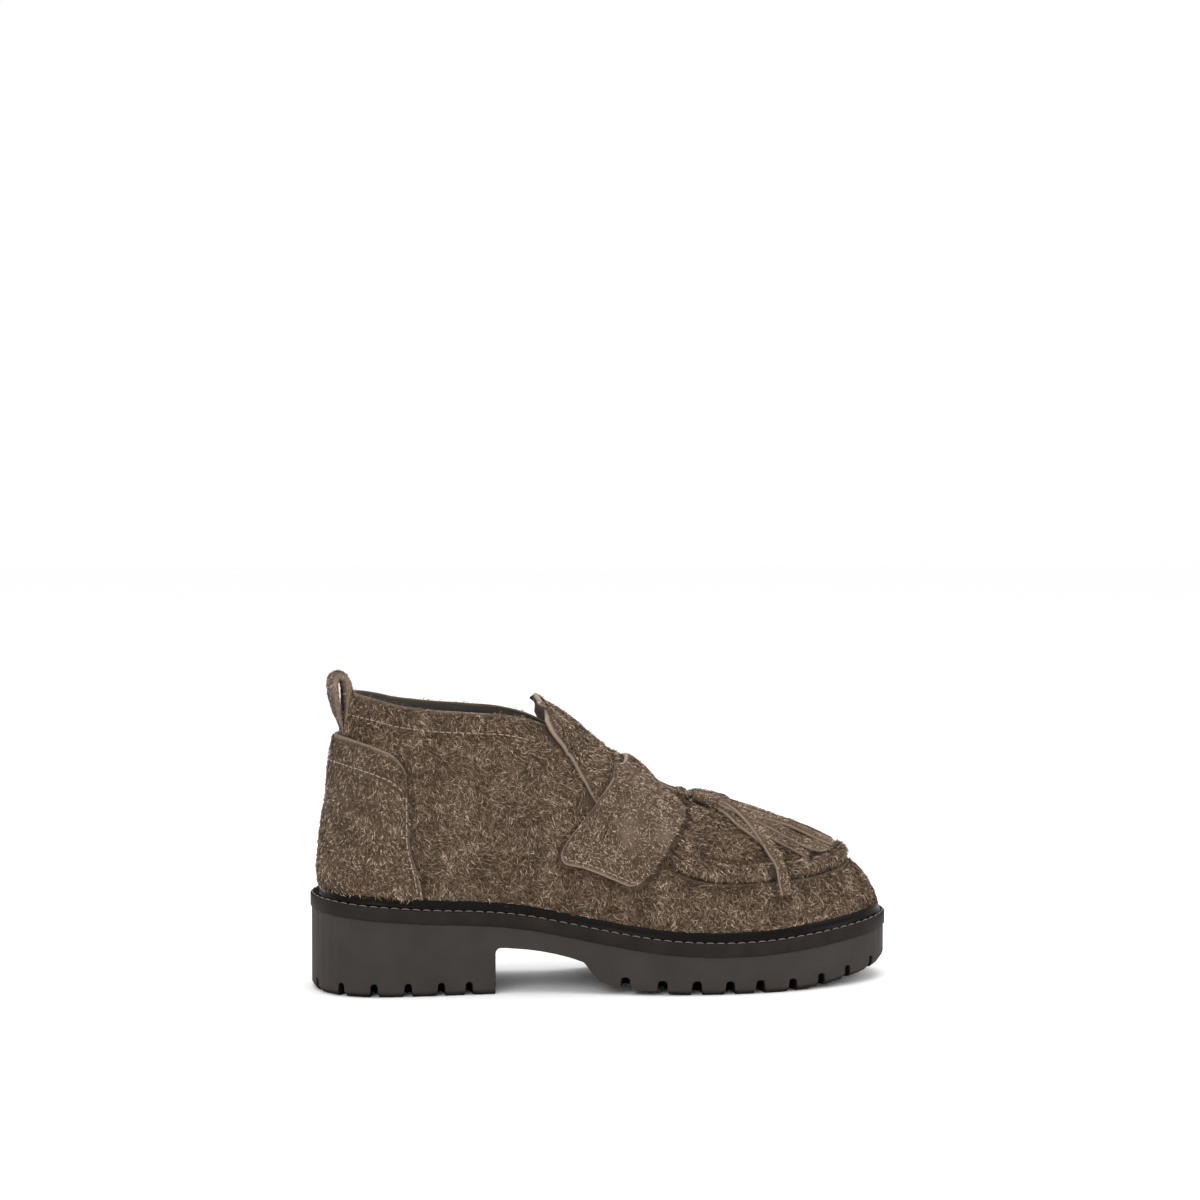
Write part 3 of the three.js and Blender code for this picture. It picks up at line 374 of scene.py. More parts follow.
def fill_mesh(mesh, points, faces):
    """Points in millimetres of the boot, and arrays of faces with as many corners each."""
    corners = np.concatenate([part.ravel() for part in faces])
    counts = np.concatenate([np.full(len(part), part.shape[1]) for part in faces])
    mesh.vertices.add(len(points))
    mesh.vertices.foreach_set("co", ((points + TO_FRAME) * MM).astype(np.float32).ravel())
    mesh.loops.add(len(corners))
    mesh.loops.foreach_set("vertex_index", corners.astype(np.int32))
    mesh.polygons.add(len(counts))
    starts = np.concatenate([[0], np.cumsum(counts)[:-1]]).astype(np.int32)
    mesh.polygons.foreach_set("loop_start", starts)
    mesh.update(calc_edges=True)


def closed_piece(name, points, faces, material, **marks):
    """A closed mesh: points that meet are welded, faces turned outwards, marks kept by point."""
    mesh = bpy.data.meshes.new(name)
    fill_mesh(mesh, points, faces)
    for mark, values in marks.items():
        mark_points(mesh, mark, values)
    work = bmesh.new()
    work.from_mesh(mesh)
    bmesh.ops.remove_doubles(work, verts=work.verts, dist=2e-6)
    bmesh.ops.dissolve_degenerate(work, dist=1e-7, edges=work.edges)
    bmesh.ops.recalc_face_normals(work, faces=work.faces)
    work.to_mesh(mesh)
    work.free()
    mesh.polygons.foreach_set("use_smooth", np.ones(len(mesh.polygons), bool))
    mesh.materials.append(material)
    return put(name, mesh)


def loop_round(count):
    """Stations right round the sole from the toe by the outer side and back: t and side."""
    t = np.concatenate([np.linspace(1, 0, count), np.linspace(0, 1, count)[1:]])
    side = np.concatenate([-np.ones(count), np.ones(count - 1)])
    return t, side


def ring_piece(name, stations, rings, material):
    """A band right round the sole: each ring gives inset and height, and the last meets the first."""
    t, side = stations
    lines = []
    for inset, height in rings + rings[:1]:
        flat = outline(t, side, np.broadcast_to(inset, t.shape))
        lines.append(np.column_stack([flat, height(flat[:, 0])]))
    points = np.concatenate(lines)
    return closed_piece(name, points, [grid_faces(len(lines), len(t))], material)


band_rubber = new_material("welt_rubber", (0.016, 0.013, 0.012), 0.6)
band_rubber.shader.inputs["Specular IOR Level"].default_value = 0.07
feed(band_rubber, "Base Color", shades(band_rubber, noise(band_rubber, 80, 3), [
    (0.3, (0.012, 0.01, 0.009)), (0.7, (0.021, 0.017, 0.015)),
]))
feed(band_rubber, "Normal", bump(band_rubber, noise(band_rubber, 1500, 2), 0.0001, 0.3))


def walk_along(line):
    """How far along a line of points each of them lies."""
    return np.concatenate([[0], np.cumsum(np.linalg.norm(np.diff(line, axis=0), axis=1))])


# Stations even along the rim, four to a rib
coarse_t, coarse_side = loop_round(1500)
walked = walk_along(plan_point(coarse_t, coarse_side))
rib_count = round(walked[-1] / RIB_PITCH)
place = np.linspace(0, walked[-1], 4 * rib_count + 1)
signed = np.interp(place, walked, coarse_t * coarse_side)
band_stations = (np.abs(signed), np.where(signed < 0, -1.0, 1.0))
rib = 0.5 + 0.5 * np.cos(2 * pi * rib_count * place / walked[-1])


def at_top(drop, ribbed):
    """A ring's height: some millimetres under the welt's top face, and in its ribs by a share."""
    return lambda x: welt_height(x) - drop - RIB_DEPTH * ribbed * (1 - rib)


def at_bottom(rise):
    return lambda x: welt_height(x) - BAND + rise


welt_band = ring_piece("welt_band", band_stations, [
    (BAND_DEPTH, at_bottom(-BAND_LAP)),
    (BAND_FOOT, at_bottom(-BAND_LAP)),
    (0, at_bottom(BAND_FOOT - BAND_LAP)),
    (0, at_top(BAND_EDGE, 0)),
    (0.25 * BAND_EDGE, at_top(0.35 * BAND_EDGE, 0.4)),
    (0.8 * BAND_EDGE, at_top(0, 0.8)),
    (1.8 * BAND_EDGE, at_top(0, 1)),
    (5.2 * BAND_EDGE, at_top(0, 1)),
    (5.8 * BAND_EDGE, at_top(0, 0)),
    (BAND_DEPTH, at_top(0, 0)),
], band_rubber.material)
rides(welt_band, "welt_rubber", "midsole")


def thread_of(name, colour):
    """Twisted thread."""
    thread = new_material(name, colour, 0.8)
    feed(thread, "Normal", bump(thread, noise(thread, 2500, 2), 0.0001, 0.5))
    return thread.material


def stitches(name, lines, pitch, length, width, material):
    """Thread stitches along lines of points with normals: each a low arch that dips at its ends."""
    rings, sides = 5, 6
    turn = np.linspace(0, 2 * pi, sides, endpoint=False)
    along = np.linspace(0, 1, rings)
    points, faces = [], []
    for line, normal in lines:
        walk = walk_along(line)
        for start in np.arange(0.3 * pitch, walk[-1] - length, pitch):
            stops = start + length * along
            middle = np.stack([np.interp(stops, walk, line[:, k]) for k in range(3)], -1)
            up = unit(np.stack([np.interp(stops, walk, normal[:, k]) for k in range(3)], -1))
            across = unit(np.cross(np.gradient(middle, axis=0), up))
            arch = np.sin(pi * along) ** 0.5
            middle = middle + up * (0.45 * width * arch - 0.2 * width)[:, None]
            girth = width * (0.35 + 0.15 * arch)
            ring = (
                middle[:, None]
                + across[:, None] * (girth[:, None] * np.cos(turn))[..., None]
                + up[:, None] * (0.8 * girth[:, None] * np.sin(turn))[..., None]
            )
            first = sum(len(part) for part in points)
            points.append(ring.reshape(-1, 3))
            step = np.arange(sides)
            for r in range(rings - 1):
                here = first + r * sides
                beside = (step + 1) % sides
                faces.append(np.stack(
                    [here + step, here + beside, here + sides + beside, here + sides + step], -1
                ))
            end = first + (rings - 1) * sides
            faces.append(np.array([
                [first + 5, first + 4, first + 3, first + 2],
                [first + 5, first + 2, first + 1, first],
                [end, end + 1, end + 2, end + 3],
                [end, end + 3, end + 4, end + 5],
            ]))
    return closed_piece(name, np.concatenate(points), [np.concatenate(faces)], material)


welt_line = outline(*band_stations, np.full(len(place), 1.15 * BAND_EDGE))
welt_line = np.column_stack([welt_line, welt_height(welt_line[:, 0]) + 0.05])
upright = np.tile((0.0, 0.0, 1.0), (len(welt_line), 1))
welt_thread = thread_of("welt_thread", (0.13, 0.1, 0.088))
welt_stitches = stitches("welt_stitches", [(welt_line, upright)], 5.0, 4.0, 0.7, welt_thread)
rides(welt_stitches, "welt_rubber")

# Footbed
# The dark leather sock that the foot stands on, glued over the board inside the upper. It is
# dished a little, and rises to a soft edge against the lining.
WELT = 5.6
WALL = 2.0
COUNTER_WALL = 1.8
FOOTBED = 3.0
FOOTBED_RISE = 1.6
FOOTBED_HEEL = 42.0
FOOTBED_TOE = 238.0

lining_leather = new_material("lining_leather", (0.018, 0.015, 0.013), 0.5)
lining_leather.shader.inputs["Specular IOR Level"].default_value = 0.2
feed(lining_leather, "Base Color", shades(lining_leather, noise(lining_leather, 70, 4), [
    (0.3, (0.013, 0.011, 0.0095)), (0.75, (0.024, 0.02, 0.017)),
]))
pores = bump(lining_leather, noise(lining_leather, 1700, 3), 0.00015, 0.5)
feed(lining_leather, "Normal", bump(lining_leather, noise(lining_leather, 150, 2), 0.0006, 0.3, pores))


def feather_inset(t):
    """The upper stands further in behind the heel, where the counter goes round it."""
    return WELT + (COUNTER_WALL + GAP) * (1 - smooth(t, 0.15, 0.3))


footbed_t, footbed_side = loop_round(110)
footbed_rim = outline(footbed_t, footbed_side, feather_inset(footbed_t) + WALL + 2 * GAP)
spine = np.column_stack([
    np.clip(footbed_rim[:, 0], FOOTBED_HEEL, FOOTBED_TOE),
    TOE_SWING * smooth(footbed_rim[:, 0] / LENGTH, 0.45, 1),
])
footbed_lines = []
for share in np.linspace(0, 1, 12):
    flat = spine + (footbed_rim - spine) * share
    dish = FOOTBED_RISE * smooth(share, 0.55, 1) * (1 - smooth(share, 0.985, 1))
    lift = GAP + FOOTBED + dish
    footbed_lines.append(np.column_stack([flat, welt_height(flat[:, 0]) + lift]))
for share in (1.0, 0.0):
    flat = spine + (footbed_rim - spine) * share
    footbed_lines.append(np.column_stack([flat, welt_height(flat[:, 0]) + GAP]))
footbed = closed_piece(
    "footbed",
    np.concatenate(footbed_lines + footbed_lines[:1]),
    [grid_faces(len(footbed_lines) + 1, len(footbed_t))],
    lining_leather.material,
)
rides(footbed, "lining", "insole")

# Upper
# Quarters and vamp of long-haired brown suede over a dark leather lining, lasted to the shape of
# a foot. A plug on top of the toes is sewn in with a raised, rolled seam, as on a moccasin.
COLLAR_HEIGHT = 141.0
COLLAR_WIDTH = 58.0
INSTEP_HEIGHT = 110.3
TOE_HEIGHT = 70.2
CREST_SHIFT = 3.0
THROAT = 0.53
COLLAR_SEAM = 9.5
ROLL_HEIGHT = 2.6
ROLL_WIDTH = 9.0
SUEDE = 1.2
NUDGE = 1e-3

# The upper's top: its place along the sole, its half width, and its rise to instep and collar
TOP_LINE = table("around along half instep collar", [
    (0, 0.0704, 0, 1, 1), (0.05, 0.0718, 0.112, 1, 1), (0.1, 0.0782, 0.221, 1, 0.991),
    (0.15, 0.0929, 0.324, 1, 0.967), (0.2, 0.1179, 0.414, 1, 0.915), (0.25, 0.15, 0.474, 1, 0.845),
    (0.3, 0.2071, 0.5, 1, 0.779), (0.35, 0.2714, 0.497, 1, 0.733), (0.4, 0.3393, 0.466, 1, 0.673),
    (0.43, 0.3804, 0.405, 1, 0.58), (0.455, 0.4125, 0.31, 1, 0.45), (0.48, 0.4429, 0.19, 1, 0.3),
    (0.505, 0.475, 0.086, 1, 0.16), (THROAT, 0.5071, 0, 1, 0), (0.555, 0.5375, 0, 0.858, 0),
    (0.58, 0.575, 0, 0.658, 0), (0.62, 0.6286, 0, 0.474, 0), (0.66, 0.6786, 0, 0.359, 0),
    (0.7, 0.725, 0, 0.274, 0), (0.75, 0.7714, 0, 0.185, 0), (0.8, 0.8036, 0, 0.117, 0),
    (0.85, 0.825, 0, 0.067, 0), (0.9, 0.8393, 0, 0.03, 0), (0.95, 0.8475, 0, 0.0075, 0),
    (1, 0.85, 0, 0, 0),
])
# How many degrees a rib leans out at its foot and in at its top, and how long it keeps to that
RIB_LINE = table("around leanOut pullOut leanIn pullIn", [
    (0, 12, 0.27, 6, 0.36), (0.1, 11, 0.27, 7, 0.36), (0.2, 7, 0.28, 8, 0.36),
    (0.3, 6, 0.3, 7, 0.36), (0.38, 6, 0.34, 9, 0.34), (0.43, 7, 0.36, 26, 0.4),
    (0.48, 8, 0.4, 58, 0.42), (THROAT, 8, 0.42, 84, 0.5), (0.6, 7, 0.42, 90, 0.52),
    (0.7, 6, 0.42, 90, 0.56), (0.85, 6, 0.42, 90, 0.56), (1, 7, 0.42, 90, 0.46),
])
# How far up each rib the rolled seam crosses it, and how full it is
SEAM = table("around up full", [
    (0, 0.42, 0), (0.545, 0.42, 0), (0.56, 0.413, 0.15), (0.6, 0.375, 1), (0.66, 0.39, 1),
    (0.7, 0.413, 1), (0.78, 0.473, 1), (0.86, 0.555, 1), (0.9, 0.605, 1), (0.95, 0.645, 1),
    (1, 0.655, 1),
])


def bezier(a, b, c, d, share):
    """A curve from a to d, drawn towards b and c on its way."""
    s = share[..., None]
    return a * (1 - s) ** 3 + 3 * b * s * (1 - s) ** 2 + 3 * c * s * s * (1 - s) + d * s**3


def top_point(t, side):
    """The upper end of a rib: the collar, then the throat, then the crest over the toes."""
    line = TOP_LINE(t)
    y = CREST_SHIFT * smooth(line.along, 0.35, 0.55) + side * COLLAR_WIDTH * line.half
    rise = (INSTEP_HEIGHT - TOE_HEIGHT) * line.instep
    z = TOE_HEIGHT + rise + (COLLAR_HEIGHT - INSTEP_HEIGHT) * line.collar
    return np.stack([LENGTH * line.along, y, z], -1)


def on_ribs(around, up):
    """Both as arrays of one shape, then the ribs' distance from the heel, and their side."""
    around, up = np.broadcast_arrays(np.asarray(around, float), np.asarray(up, float))
    return around, up, np.abs(around), np.where(around < 0, -1.0, 1.0)


def last(around, up):
    """The form inside the upper. around is 0 at the heel and 1 or -1 at the toe, by the inner or
    the outer side; up is 0 at the welt and 1 at the collar, the throat or the crest."""
    around, up, t, side = on_ribs(around, up)
    rib_line = RIB_LINE(t)
    flat = outline(t, side, feather_inset(t))
    foot = np.stack([flat[..., 0], flat[..., 1], welt_height(flat[..., 0]) + GAP], -1)
    top = top_point(t, side)
    out = plan_normal(t, side)
    height = top[..., 2] - foot[..., 2]
    reach = np.hypot(foot[..., 0] - top[..., 0], foot[..., 1] - top[..., 1])
    lean_out, lean_in = np.radians(rib_line.leanOut), np.radians(rib_line.leanIn)
    pull_out = rib_line.pullOut * height
    level = smooth(rib_line.leanIn, 20, 70)
    pull_in = rib_line.pullIn * (height * (1 - level) + reach * level)
    before = top_point(np.maximum(t - NUDGE, 0), side)
    after = top_point(np.minimum(t + NUDGE, 1), side)
    run = after[..., 0] - before[..., 0]
    slope = (after[..., 2] - before[..., 2]) / np.where(np.abs(run) < 1e-6, 1e-6, run)
    fall = np.where(t >= THROAT - 0.06, slope, 0)
    flat_out = np.sin(lean_out) * pull_out
    low = np.stack([out[..., 0] * flat_out, out[..., 1] * flat_out, np.cos(lean_out) * pull_out], -1)
    flat_in = np.sin(lean_in) * pull_in
    drop = fall * out[..., 0] * flat_in - np.cos(lean_in) * pull_in
    high = np.stack([out[..., 0] * flat_in, out[..., 1] * flat_in, drop], -1)
    return bezier(foot, foot + low, top + high, top, up)


def normal_of(surface, around, up, closed_from=THROAT):
    """Outwards from a surface. Its two sides meet at their top from the rib closed_from on."""
    around, up, t, side = on_ribs(around, up)
    closed = t >= closed_from
    ahead = np.where(t + NUDGE > 1, side * (t + NUDGE - 2), side * (t + NUDGE))
    behind = side * np.where(closed, np.maximum(t - NUDGE, closed_from), t - NUDGE)
    onwards = (surface(ahead, up) - surface(behind, up)) * side[..., None]
    over = closed & (up + NUDGE > 1)
    above = surface(
        np.where(over, -around, around), np.where(over, 2 - up - NUDGE, np.minimum(up + NUDGE, 1))
    )
    below = surface(around, np.maximum(up - NUDGE, 0))
    return unit(np.cross(above - below, onwards))


def skin(surface, around, up, lift=0.0):
    """Points of a surface, lifted off it by some millimetres."""
    return surface(around, up) + normal_of(surface, around, up) * np.asarray(lift)[..., None]


def rib_length(t):
    """Length of a rib of the last from the welt up."""
    points = last(np.asarray(t, float)[..., None], np.linspace(0, 1, 11))
    return np.linalg.norm(np.diff(points, axis=-2), axis=-1).sum(-1)


rib_steps = np.linspace(0, 1, 200)
rib_lengths = rib_length(rib_steps)


def from_seam(around, up):
    """Millimetres up a rib from the rolled seam, and how full the seam is there."""
    t = np.abs(around)
    row = SEAM(t)
    return (up - row.up) * np.interp(t, rib_steps, rib_lengths), row.full


def roll(around, up):
    """Height of the rolled seam."""
    away, full = from_seam(around, up)
    share = np.clip(np.abs(away) / (ROLL_WIDTH / 2), 0, 1)
    return ROLL_HEIGHT * full * (0.5 + 0.5 * np.cos(pi * share))


def drift(points, wave, seed):
    """A value that wanders smoothly between about -1 and 1 over so many millimetres."""
    chance = np.random.default_rng(seed)
    total = 0
    for _ in range(6):
        way = unit(chance.normal(size=3)) * 2 * pi / (wave * chance.uniform(0.7, 1.5))
        total = total + np.sin(points @ way + chance.uniform(0, 2 * pi))
    return total / 2.6


# Soft folds set by wear and lasting: start, end, breadth and depth, troughs below zero
FOLDS = [
    ((-0.40, 0.86), (-0.455, 0.52), 7, -0.9),
    ((-0.37, 0.80), (-0.43, 0.45), 7, 0.7),
    ((-0.30, 0.62), (-0.41, 0.33), 9, -0.6),
    ((-0.315, 0.90), (-0.34, 0.55), 8, 0.5),
    ((-0.47, 0.36), (-0.56, 0.20), 6, -0.6),
    ((-0.58, 0.30), (-0.66, 0.24), 5, -0.5),
    ((-0.62, 0.66), (-0.64, 0.92), 5, -0.6),
    ((0.40, 0.88), (0.455, 0.50), 7, -0.9),
    ((0.36, 0.78), (0.43, 0.42), 8, 0.6),
    ((0.29, 0.60), (0.40, 0.30), 9, -0.6),
    ((0.50, 0.34), (0.58, 0.22), 6, -0.6),
    ((0.62, 0.64), (0.64, 0.92), 5, -0.6),
    ((0.70, 0.20), (0.80, 0.24), 6, -0.4),
    ((-0.74, 0.20), (-0.84, 0.25), 6, -0.4),
]
fold_ends = [(last(*start), last(*end), breadth, depth) for start, end, breadth, depth in FOLDS]


def hump(distance, breadth):
    """1 at no distance, and soon nothing beyond the breadth."""
    return np.exp(-((distance / breadth) ** 2))


def folds(points):
    """Height of the folds at points of the last."""
    total = 0
    for start, end, breadth, depth in fold_ends:
        line = end - start
        share = np.clip((points - start) @ line / (line @ line), 0, 1)
        away = np.linalg.norm(points - start - share[..., None] * line, axis=-1)
        total = total + depth * hump(away, breadth) * (0.4 + 0.6 * np.sin(pi * share))
    return total


def relief(around, up):
    """What stands on the last: the rolled seam with its gathers, the sewn lip under it, folds."""
    points = last(around, up)
    away, full = from_seam(around, up)
    gathers = 1 + 0.16 * drift(points, 7, 3)
    crease = -1.8 * full * hump(away + 0.5 * ROLL_WIDTH, 1.0)
    lip = 1.2 * full * hump(away + 0.66 * ROLL_WIDTH, 0.8)
    ease = smooth(up, 0, 0.08) * (1 - 0.7 * smooth(up, 0.9, 1))
    waves = 0.35 * drift(points, 34, 5) + 0.16 * drift(points, 11, 8)
    return 1.4 * roll(around, up) * gathers + crease + lip + (folds(points) + waves) * ease


suede = new_material("suede", (0.14, 0.1, 0.07), 0.95)
suede_cloud = shades(suede, noise(suede, 75, 3), [
    (0.3, (0.075, 0.05, 0.033)), (0.5, (0.105, 0.072, 0.048)), (0.72, (0.135, 0.095, 0.065)),
])
suede_fibre = shades(suede, noise(suede, 1300, 4, (1, 1, 0.4)), [
    (0.3, (0.25, 0.23, 0.21)), (0.52, (0.75, 0.73, 0.71)), (0.75, (1, 1, 1)),
])
suede_colour = blend_colours(suede, 0.75, suede_cloud, suede_fibre, "MULTIPLY")
cut_colour = (0.275, 0.205, 0.15, 1)
feed(suede, "Base Color", blend_colours(suede, marked(suede, "cut"), suede_colour, cut_colour))
suede_pile = bump(suede, noise(suede, 1600, 3), 0.0004, 0.8)
feed(suede, "Normal", bump(suede, noise(suede, 240, 3), 0.0008, 0.5, suede_pile))
suede.shader.inputs["Sheen Weight"].default_value = 0.1
suede.shader.inputs["Sheen Roughness"].default_value = 0.6
suede.shader.inputs["Specular IOR Level"].default_value = 0.15


def wall_piece(name, outer, inner, edges, material, marks):
    """A wall between two grids of points, with strips across its named edges: each edge comes
    with the steps of it that get a strip. Nap grows on the outer side alone."""
    rows, columns = outer.shape[:2]
    count = rows * columns
    index = np.arange(count).reshape(rows, columns)
    lines = {"rear": index[0], "front": index[-1], "bottom": index[:, 0], "top": index[:, -1]}
    side = grid_faces(rows, columns)
    faces = [side, side + count]
    for edge, kept in edges.items():
        line = lines[edge]
        strip = np.stack([line[:-1], line[1:], line[1:] + count, line[:-1] + count], -1)
        faces.append(strip[kept])
    on_both = {
        mark: np.concatenate([values.ravel(), values.ravel() * (mark != "napped")])
        for mark, values in marks.items()
    }
    points = np.concatenate([outer.reshape(-1, 3), inner.reshape(-1, 3)])
    return closed_piece(name, points, faces, material, **on_both)


def shell(name, around, up, outer_lift, inner_lift, material, **marks):
    """One wall right round the last, open at the collar and closed over the toes."""
    outer = skin(last, around, up, outer_lift)
    inner = skin(last, around, up, inner_lift)
    open_here = np.abs(around[:-1, 0] + around[1:, 0]) / 2 < THROAT
    edges = {"bottom": slice(None), "top": open_here}
    return wall_piece(name, outer, inner, edges, material, marks), outer


def stations_round(heel_count, toe_count):
    """Ribs right round the last, from the toe by the outer side and the heel back to the toe."""
    one = np.concatenate([
        np.linspace(0, THROAT, heel_count + 1), np.linspace(THROAT, 1, toe_count + 1)[1:]
    ])
    return np.concatenate([-one[:0:-1], one])


def rows_up(stations, below, on_seam, above):
    """How far up each rib its points lie, close together on the rolled seam and at the collar."""
    seam = SEAM(np.abs(stations)).up[:, None]
    half = (0.8 * ROLL_WIDTH / np.interp(np.abs(stations), rib_steps, rib_lengths))[:, None]
    low = (seam - half) * np.linspace(0, 1, below + 1)
    middle = seam - half + 2 * half * np.linspace(0, 1, on_seam + 1)[1:]
    rest = np.linspace(0, 1, above + 1)[1:] ** 0.9
    high = seam + half + (1 - seam - half) * rest
    return np.concatenate([low, middle, high], 1)


ROWS_BELOW, ROWS_ON_SEAM, ROWS_ABOVE = 22, 24, 30
suede_stations = stations_round(84, 78)
suede_up = rows_up(suede_stations, ROWS_BELOW, ROWS_ON_SEAM, ROWS_ABOVE)
suede_around = np.repeat(suede_stations[:, None], suede_up.shape[1], 1)
rim_distance = (1 - suede_up) * np.interp(np.abs(suede_around), rib_steps, rib_lengths)
at_collar = np.abs(suede_around) < THROAT
rim_round = np.where(at_collar, 0.5 * SUEDE * hump(rim_distance, 0.7), 0)
suede_lift = relief(suede_around, suede_up) - rim_round
seam_away, seam_full = from_seam(suede_around, suede_up)
seam_bare = seam_full * hump(seam_away + 0.56 * ROLL_WIDTH, 1.6)
# Painted light on the nap: a painted highlight along the top of the roll, and painted shade on both
# sides of it
seam_wear = seam_full * (
    hump(seam_away - 0.5, 2.6)
    - 1.2 * hump(seam_away + 0.5 * ROLL_WIDTH, 1.6)
    - 0.6 * hump(seam_away - 0.62 * ROLL_WIDTH, 1.8)
)
collar_parting = at_collar * hump(rim_distance - COLLAR_SEAM, 0.9)
rim_thin = np.where(at_collar, 0.35 + 0.65 * smooth(rim_distance, 0, 2.5), 1)
suede_upper, suede_outer = shell(
    "suede_upper",
    suede_around,
    suede_up,
    suede_lift,
    np.minimum(suede_lift - 0.5, -0.3 * SUEDE) - 0.3 * SUEDE,
    suede.material,
    cut=np.where(at_collar, 0.35 * hump(rim_distance, 0.6), 0),
    napped=rim_thin * (1 - seam_bare) * (1 - 0.8 * collar_parting),
    # painted highlight and shade of the roll, added later to the hairs' tone
    wear=seam_wear,
)
suede_normal = normal_of(last, suede_around, suede_up)
rides(suede_upper, "suede", "upper")

lining_around, lining_up = np.meshgrid(
    stations_round(50, 46), np.linspace(0, 1, 22), indexing="ij"
)
collar_drop = np.where(np.abs(lining_around) < THROAT, 0.012 * smooth(lining_up, 0.9, 1), 0)
lining_relief = folds(last(lining_around, lining_up)) * smooth(lining_up, 0, 0.1) * 0.5
lining, _ = shell(
    "lining",
    lining_around,
    lining_up - collar_drop,
    np.minimum(lining_relief, 0) - 0.62 * WALL - 0.5,
    np.minimum(lining_relief, 0) - WALL - 0.3,
    lining_leather.material,
)
rides(lining, "lining")

# Rand
# The narrow glossy strip that closes the joint between upper and welt: near-black rubber with a
# rounded top edge, cemented round the foot of the suede.
RAND_HEIGHT = 4.3
RAND_WALL = 1.7
RAND_FOOT = 1.6

rand_gloss = new_material("rand_gloss", (0.005, 0.0042, 0.0036), 0.26)
rand_gloss.shader.inputs["Specular IOR Level"].default_value = 0.07
feed(rand_gloss, "Normal", bump(rand_gloss, noise(rand_gloss, 320, 3), 0.0003, 0.25))
feed(rand_gloss, "Roughness", shades(rand_gloss, noise(rand_gloss, 140, 4), [
    (0.35, (0.2, 0.2, 0.2)), (0.7, (0.4, 0.4, 0.4)),
]))


def halved(shape, low, high, steps, short_of):
    """The place between low and high, for each point, up to which short_of holds."""
    low, high = np.full(shape, low), np.full(shape, high)
    for _ in range(steps):
        middle = (low + high) / 2
        further = short_of(middle)
        low, high = np.where(further, middle, low), np.where(further, high, middle)
    return middle


def up_at(around, height):
    """How far up a rib a height above its foot lies."""
    around, height = np.broadcast_arrays(np.asarray(around, float), np.asarray(height, float))
    foot = last(around, 0)[..., 2]
    return halved(around.shape, 0.0, 1.0, 19, lambda up: last(around, up)[..., 2] - foot < height)


def up_to(around, level):
    """How far up a rib a level above the floor lies."""
    return up_at(around, level - last(around, 0)[..., 2])


# Round the rand's section: share of its height, and how far out
RAND_SECTION = [
    (0, 1.0), (0.12, 0.98), (0.3, 0.74), (0.5, 0.5), (0.75, 0.42), (0.88, 0.36), (0.96, 0.2),
    (1.0, -0.1), (0.98, -0.51), (0.5, -0.51), (0, -0.51), (0, 1.0),
]
rand_around = stations_round(150, 150)
rand_lines = []
for share, out in RAND_SECTION:
    wander = 0.12 * drift(last(rand_around, 0), 16, 21) * (out > 0) * (share > 0)
    lift = GAP + 0.52 * (RAND_WALL + RAND_FOOT) * (1 + out) + wander - 0.1
    line = skin(last, rand_around, up_at(rand_around, share * RAND_HEIGHT), np.maximum(lift, 0.15))
    if share == 0:
        line[:, 2] = welt_height(line[:, 0]) + 0.5 * GAP
    rand_lines.append(line)
rand = closed_piece(
    "rand",
    np.concatenate(rand_lines),
    [grid_faces(len(rand_lines), len(rand_around))],
    rand_gloss.material,
)
rides(rand, "rand", "rand")

# Pull loop
# One band of short-napped suede folded over at the back of the collar. Its feet lie flat against
# the quarters, under the top of the counter.
LOOP_WIDTH = 17.0
LOOP_FOOT = 31.0
LOOP_TUCK = 2.0
LOOP_RISE = 10.0
LOOP_DEPTH = 11.3
LOOP_SETTLE = 7.0
# The loop's middle line, by how far it stands above the collar and out, and how thick it is
LOOP_PATH = table("step above out wall", [
    (0, -3.1, 0.05, 0.9), (1, -2, 0.055, 1.0), (2, -1.7, 0.08, 1.4), (3, -0.9, 0.13, 2.5),
    (4, -0.1, 0.18, 3.7), (5, 0.35, 0.22, 3.9), (6, 0.76, 0.42, 3.7), (7, 0.75, 0.65, 3.6),
    (8, 0.44, 0.78, 3.8), (9, -0.1, 0.74, 3.7), (10, -0.9, 0.5, 2.9), (11, -1.3, 0.335, 1.9),
    (12, -1.65, 0.2, 1.4), (13, -2, 0.145, 1.0), (14, -3.1, 0.135, 0.9),
])
LOOP_TWIST = 0.09


def back_at(across, height):
    """Where the back of the last lies at a height, off the centre line by some millimetres."""
    across, height = np.broadcast_arrays(np.abs(across), np.minimum(height, COLLAR_HEIGHT))

    def point(around):
        return last(around, up_to(around, height))

    around = halved(across.shape, 0.0, 0.2, 14, lambda around: point(around)[..., 1] < across)
    return point(around)[..., 0]


def ring_faces(rings, sides, start=0):
    """A closed tube of rings of points, with a fan over each end."""
    ring, side = np.meshgrid(np.arange(rings - 1), np.arange(sides), indexing="ij")
    here = start + ring * sides + side
    beside = start + ring * sides + (side + 1) % sides
    tube = np.stack([here, beside, beside + sides, here + sides], -1).reshape(-1, 4)
    fan = np.arange(1, sides - 1)
    first = np.stack([np.full(len(fan), start), start + fan + 1, start + fan], -1)
    end = start + (rings - 1) * sides
    last_fan = np.stack([np.full(len(fan), end), end + fan, end + fan + 1], -1)
    return tube, np.concatenate([first, last_fan])


def flat_ring(sides, softness=0.5):
    """Round a flat band's section: places across and through it, each from -1 to 1."""
    turn = np.linspace(0, 2 * pi, sides, endpoint=False)
    across = np.sign(np.cos(turn)) * np.abs(np.cos(turn)) ** softness
    through = np.sign(np.sin(turn)) * np.abs(np.sin(turn)) ** softness
    return across, through


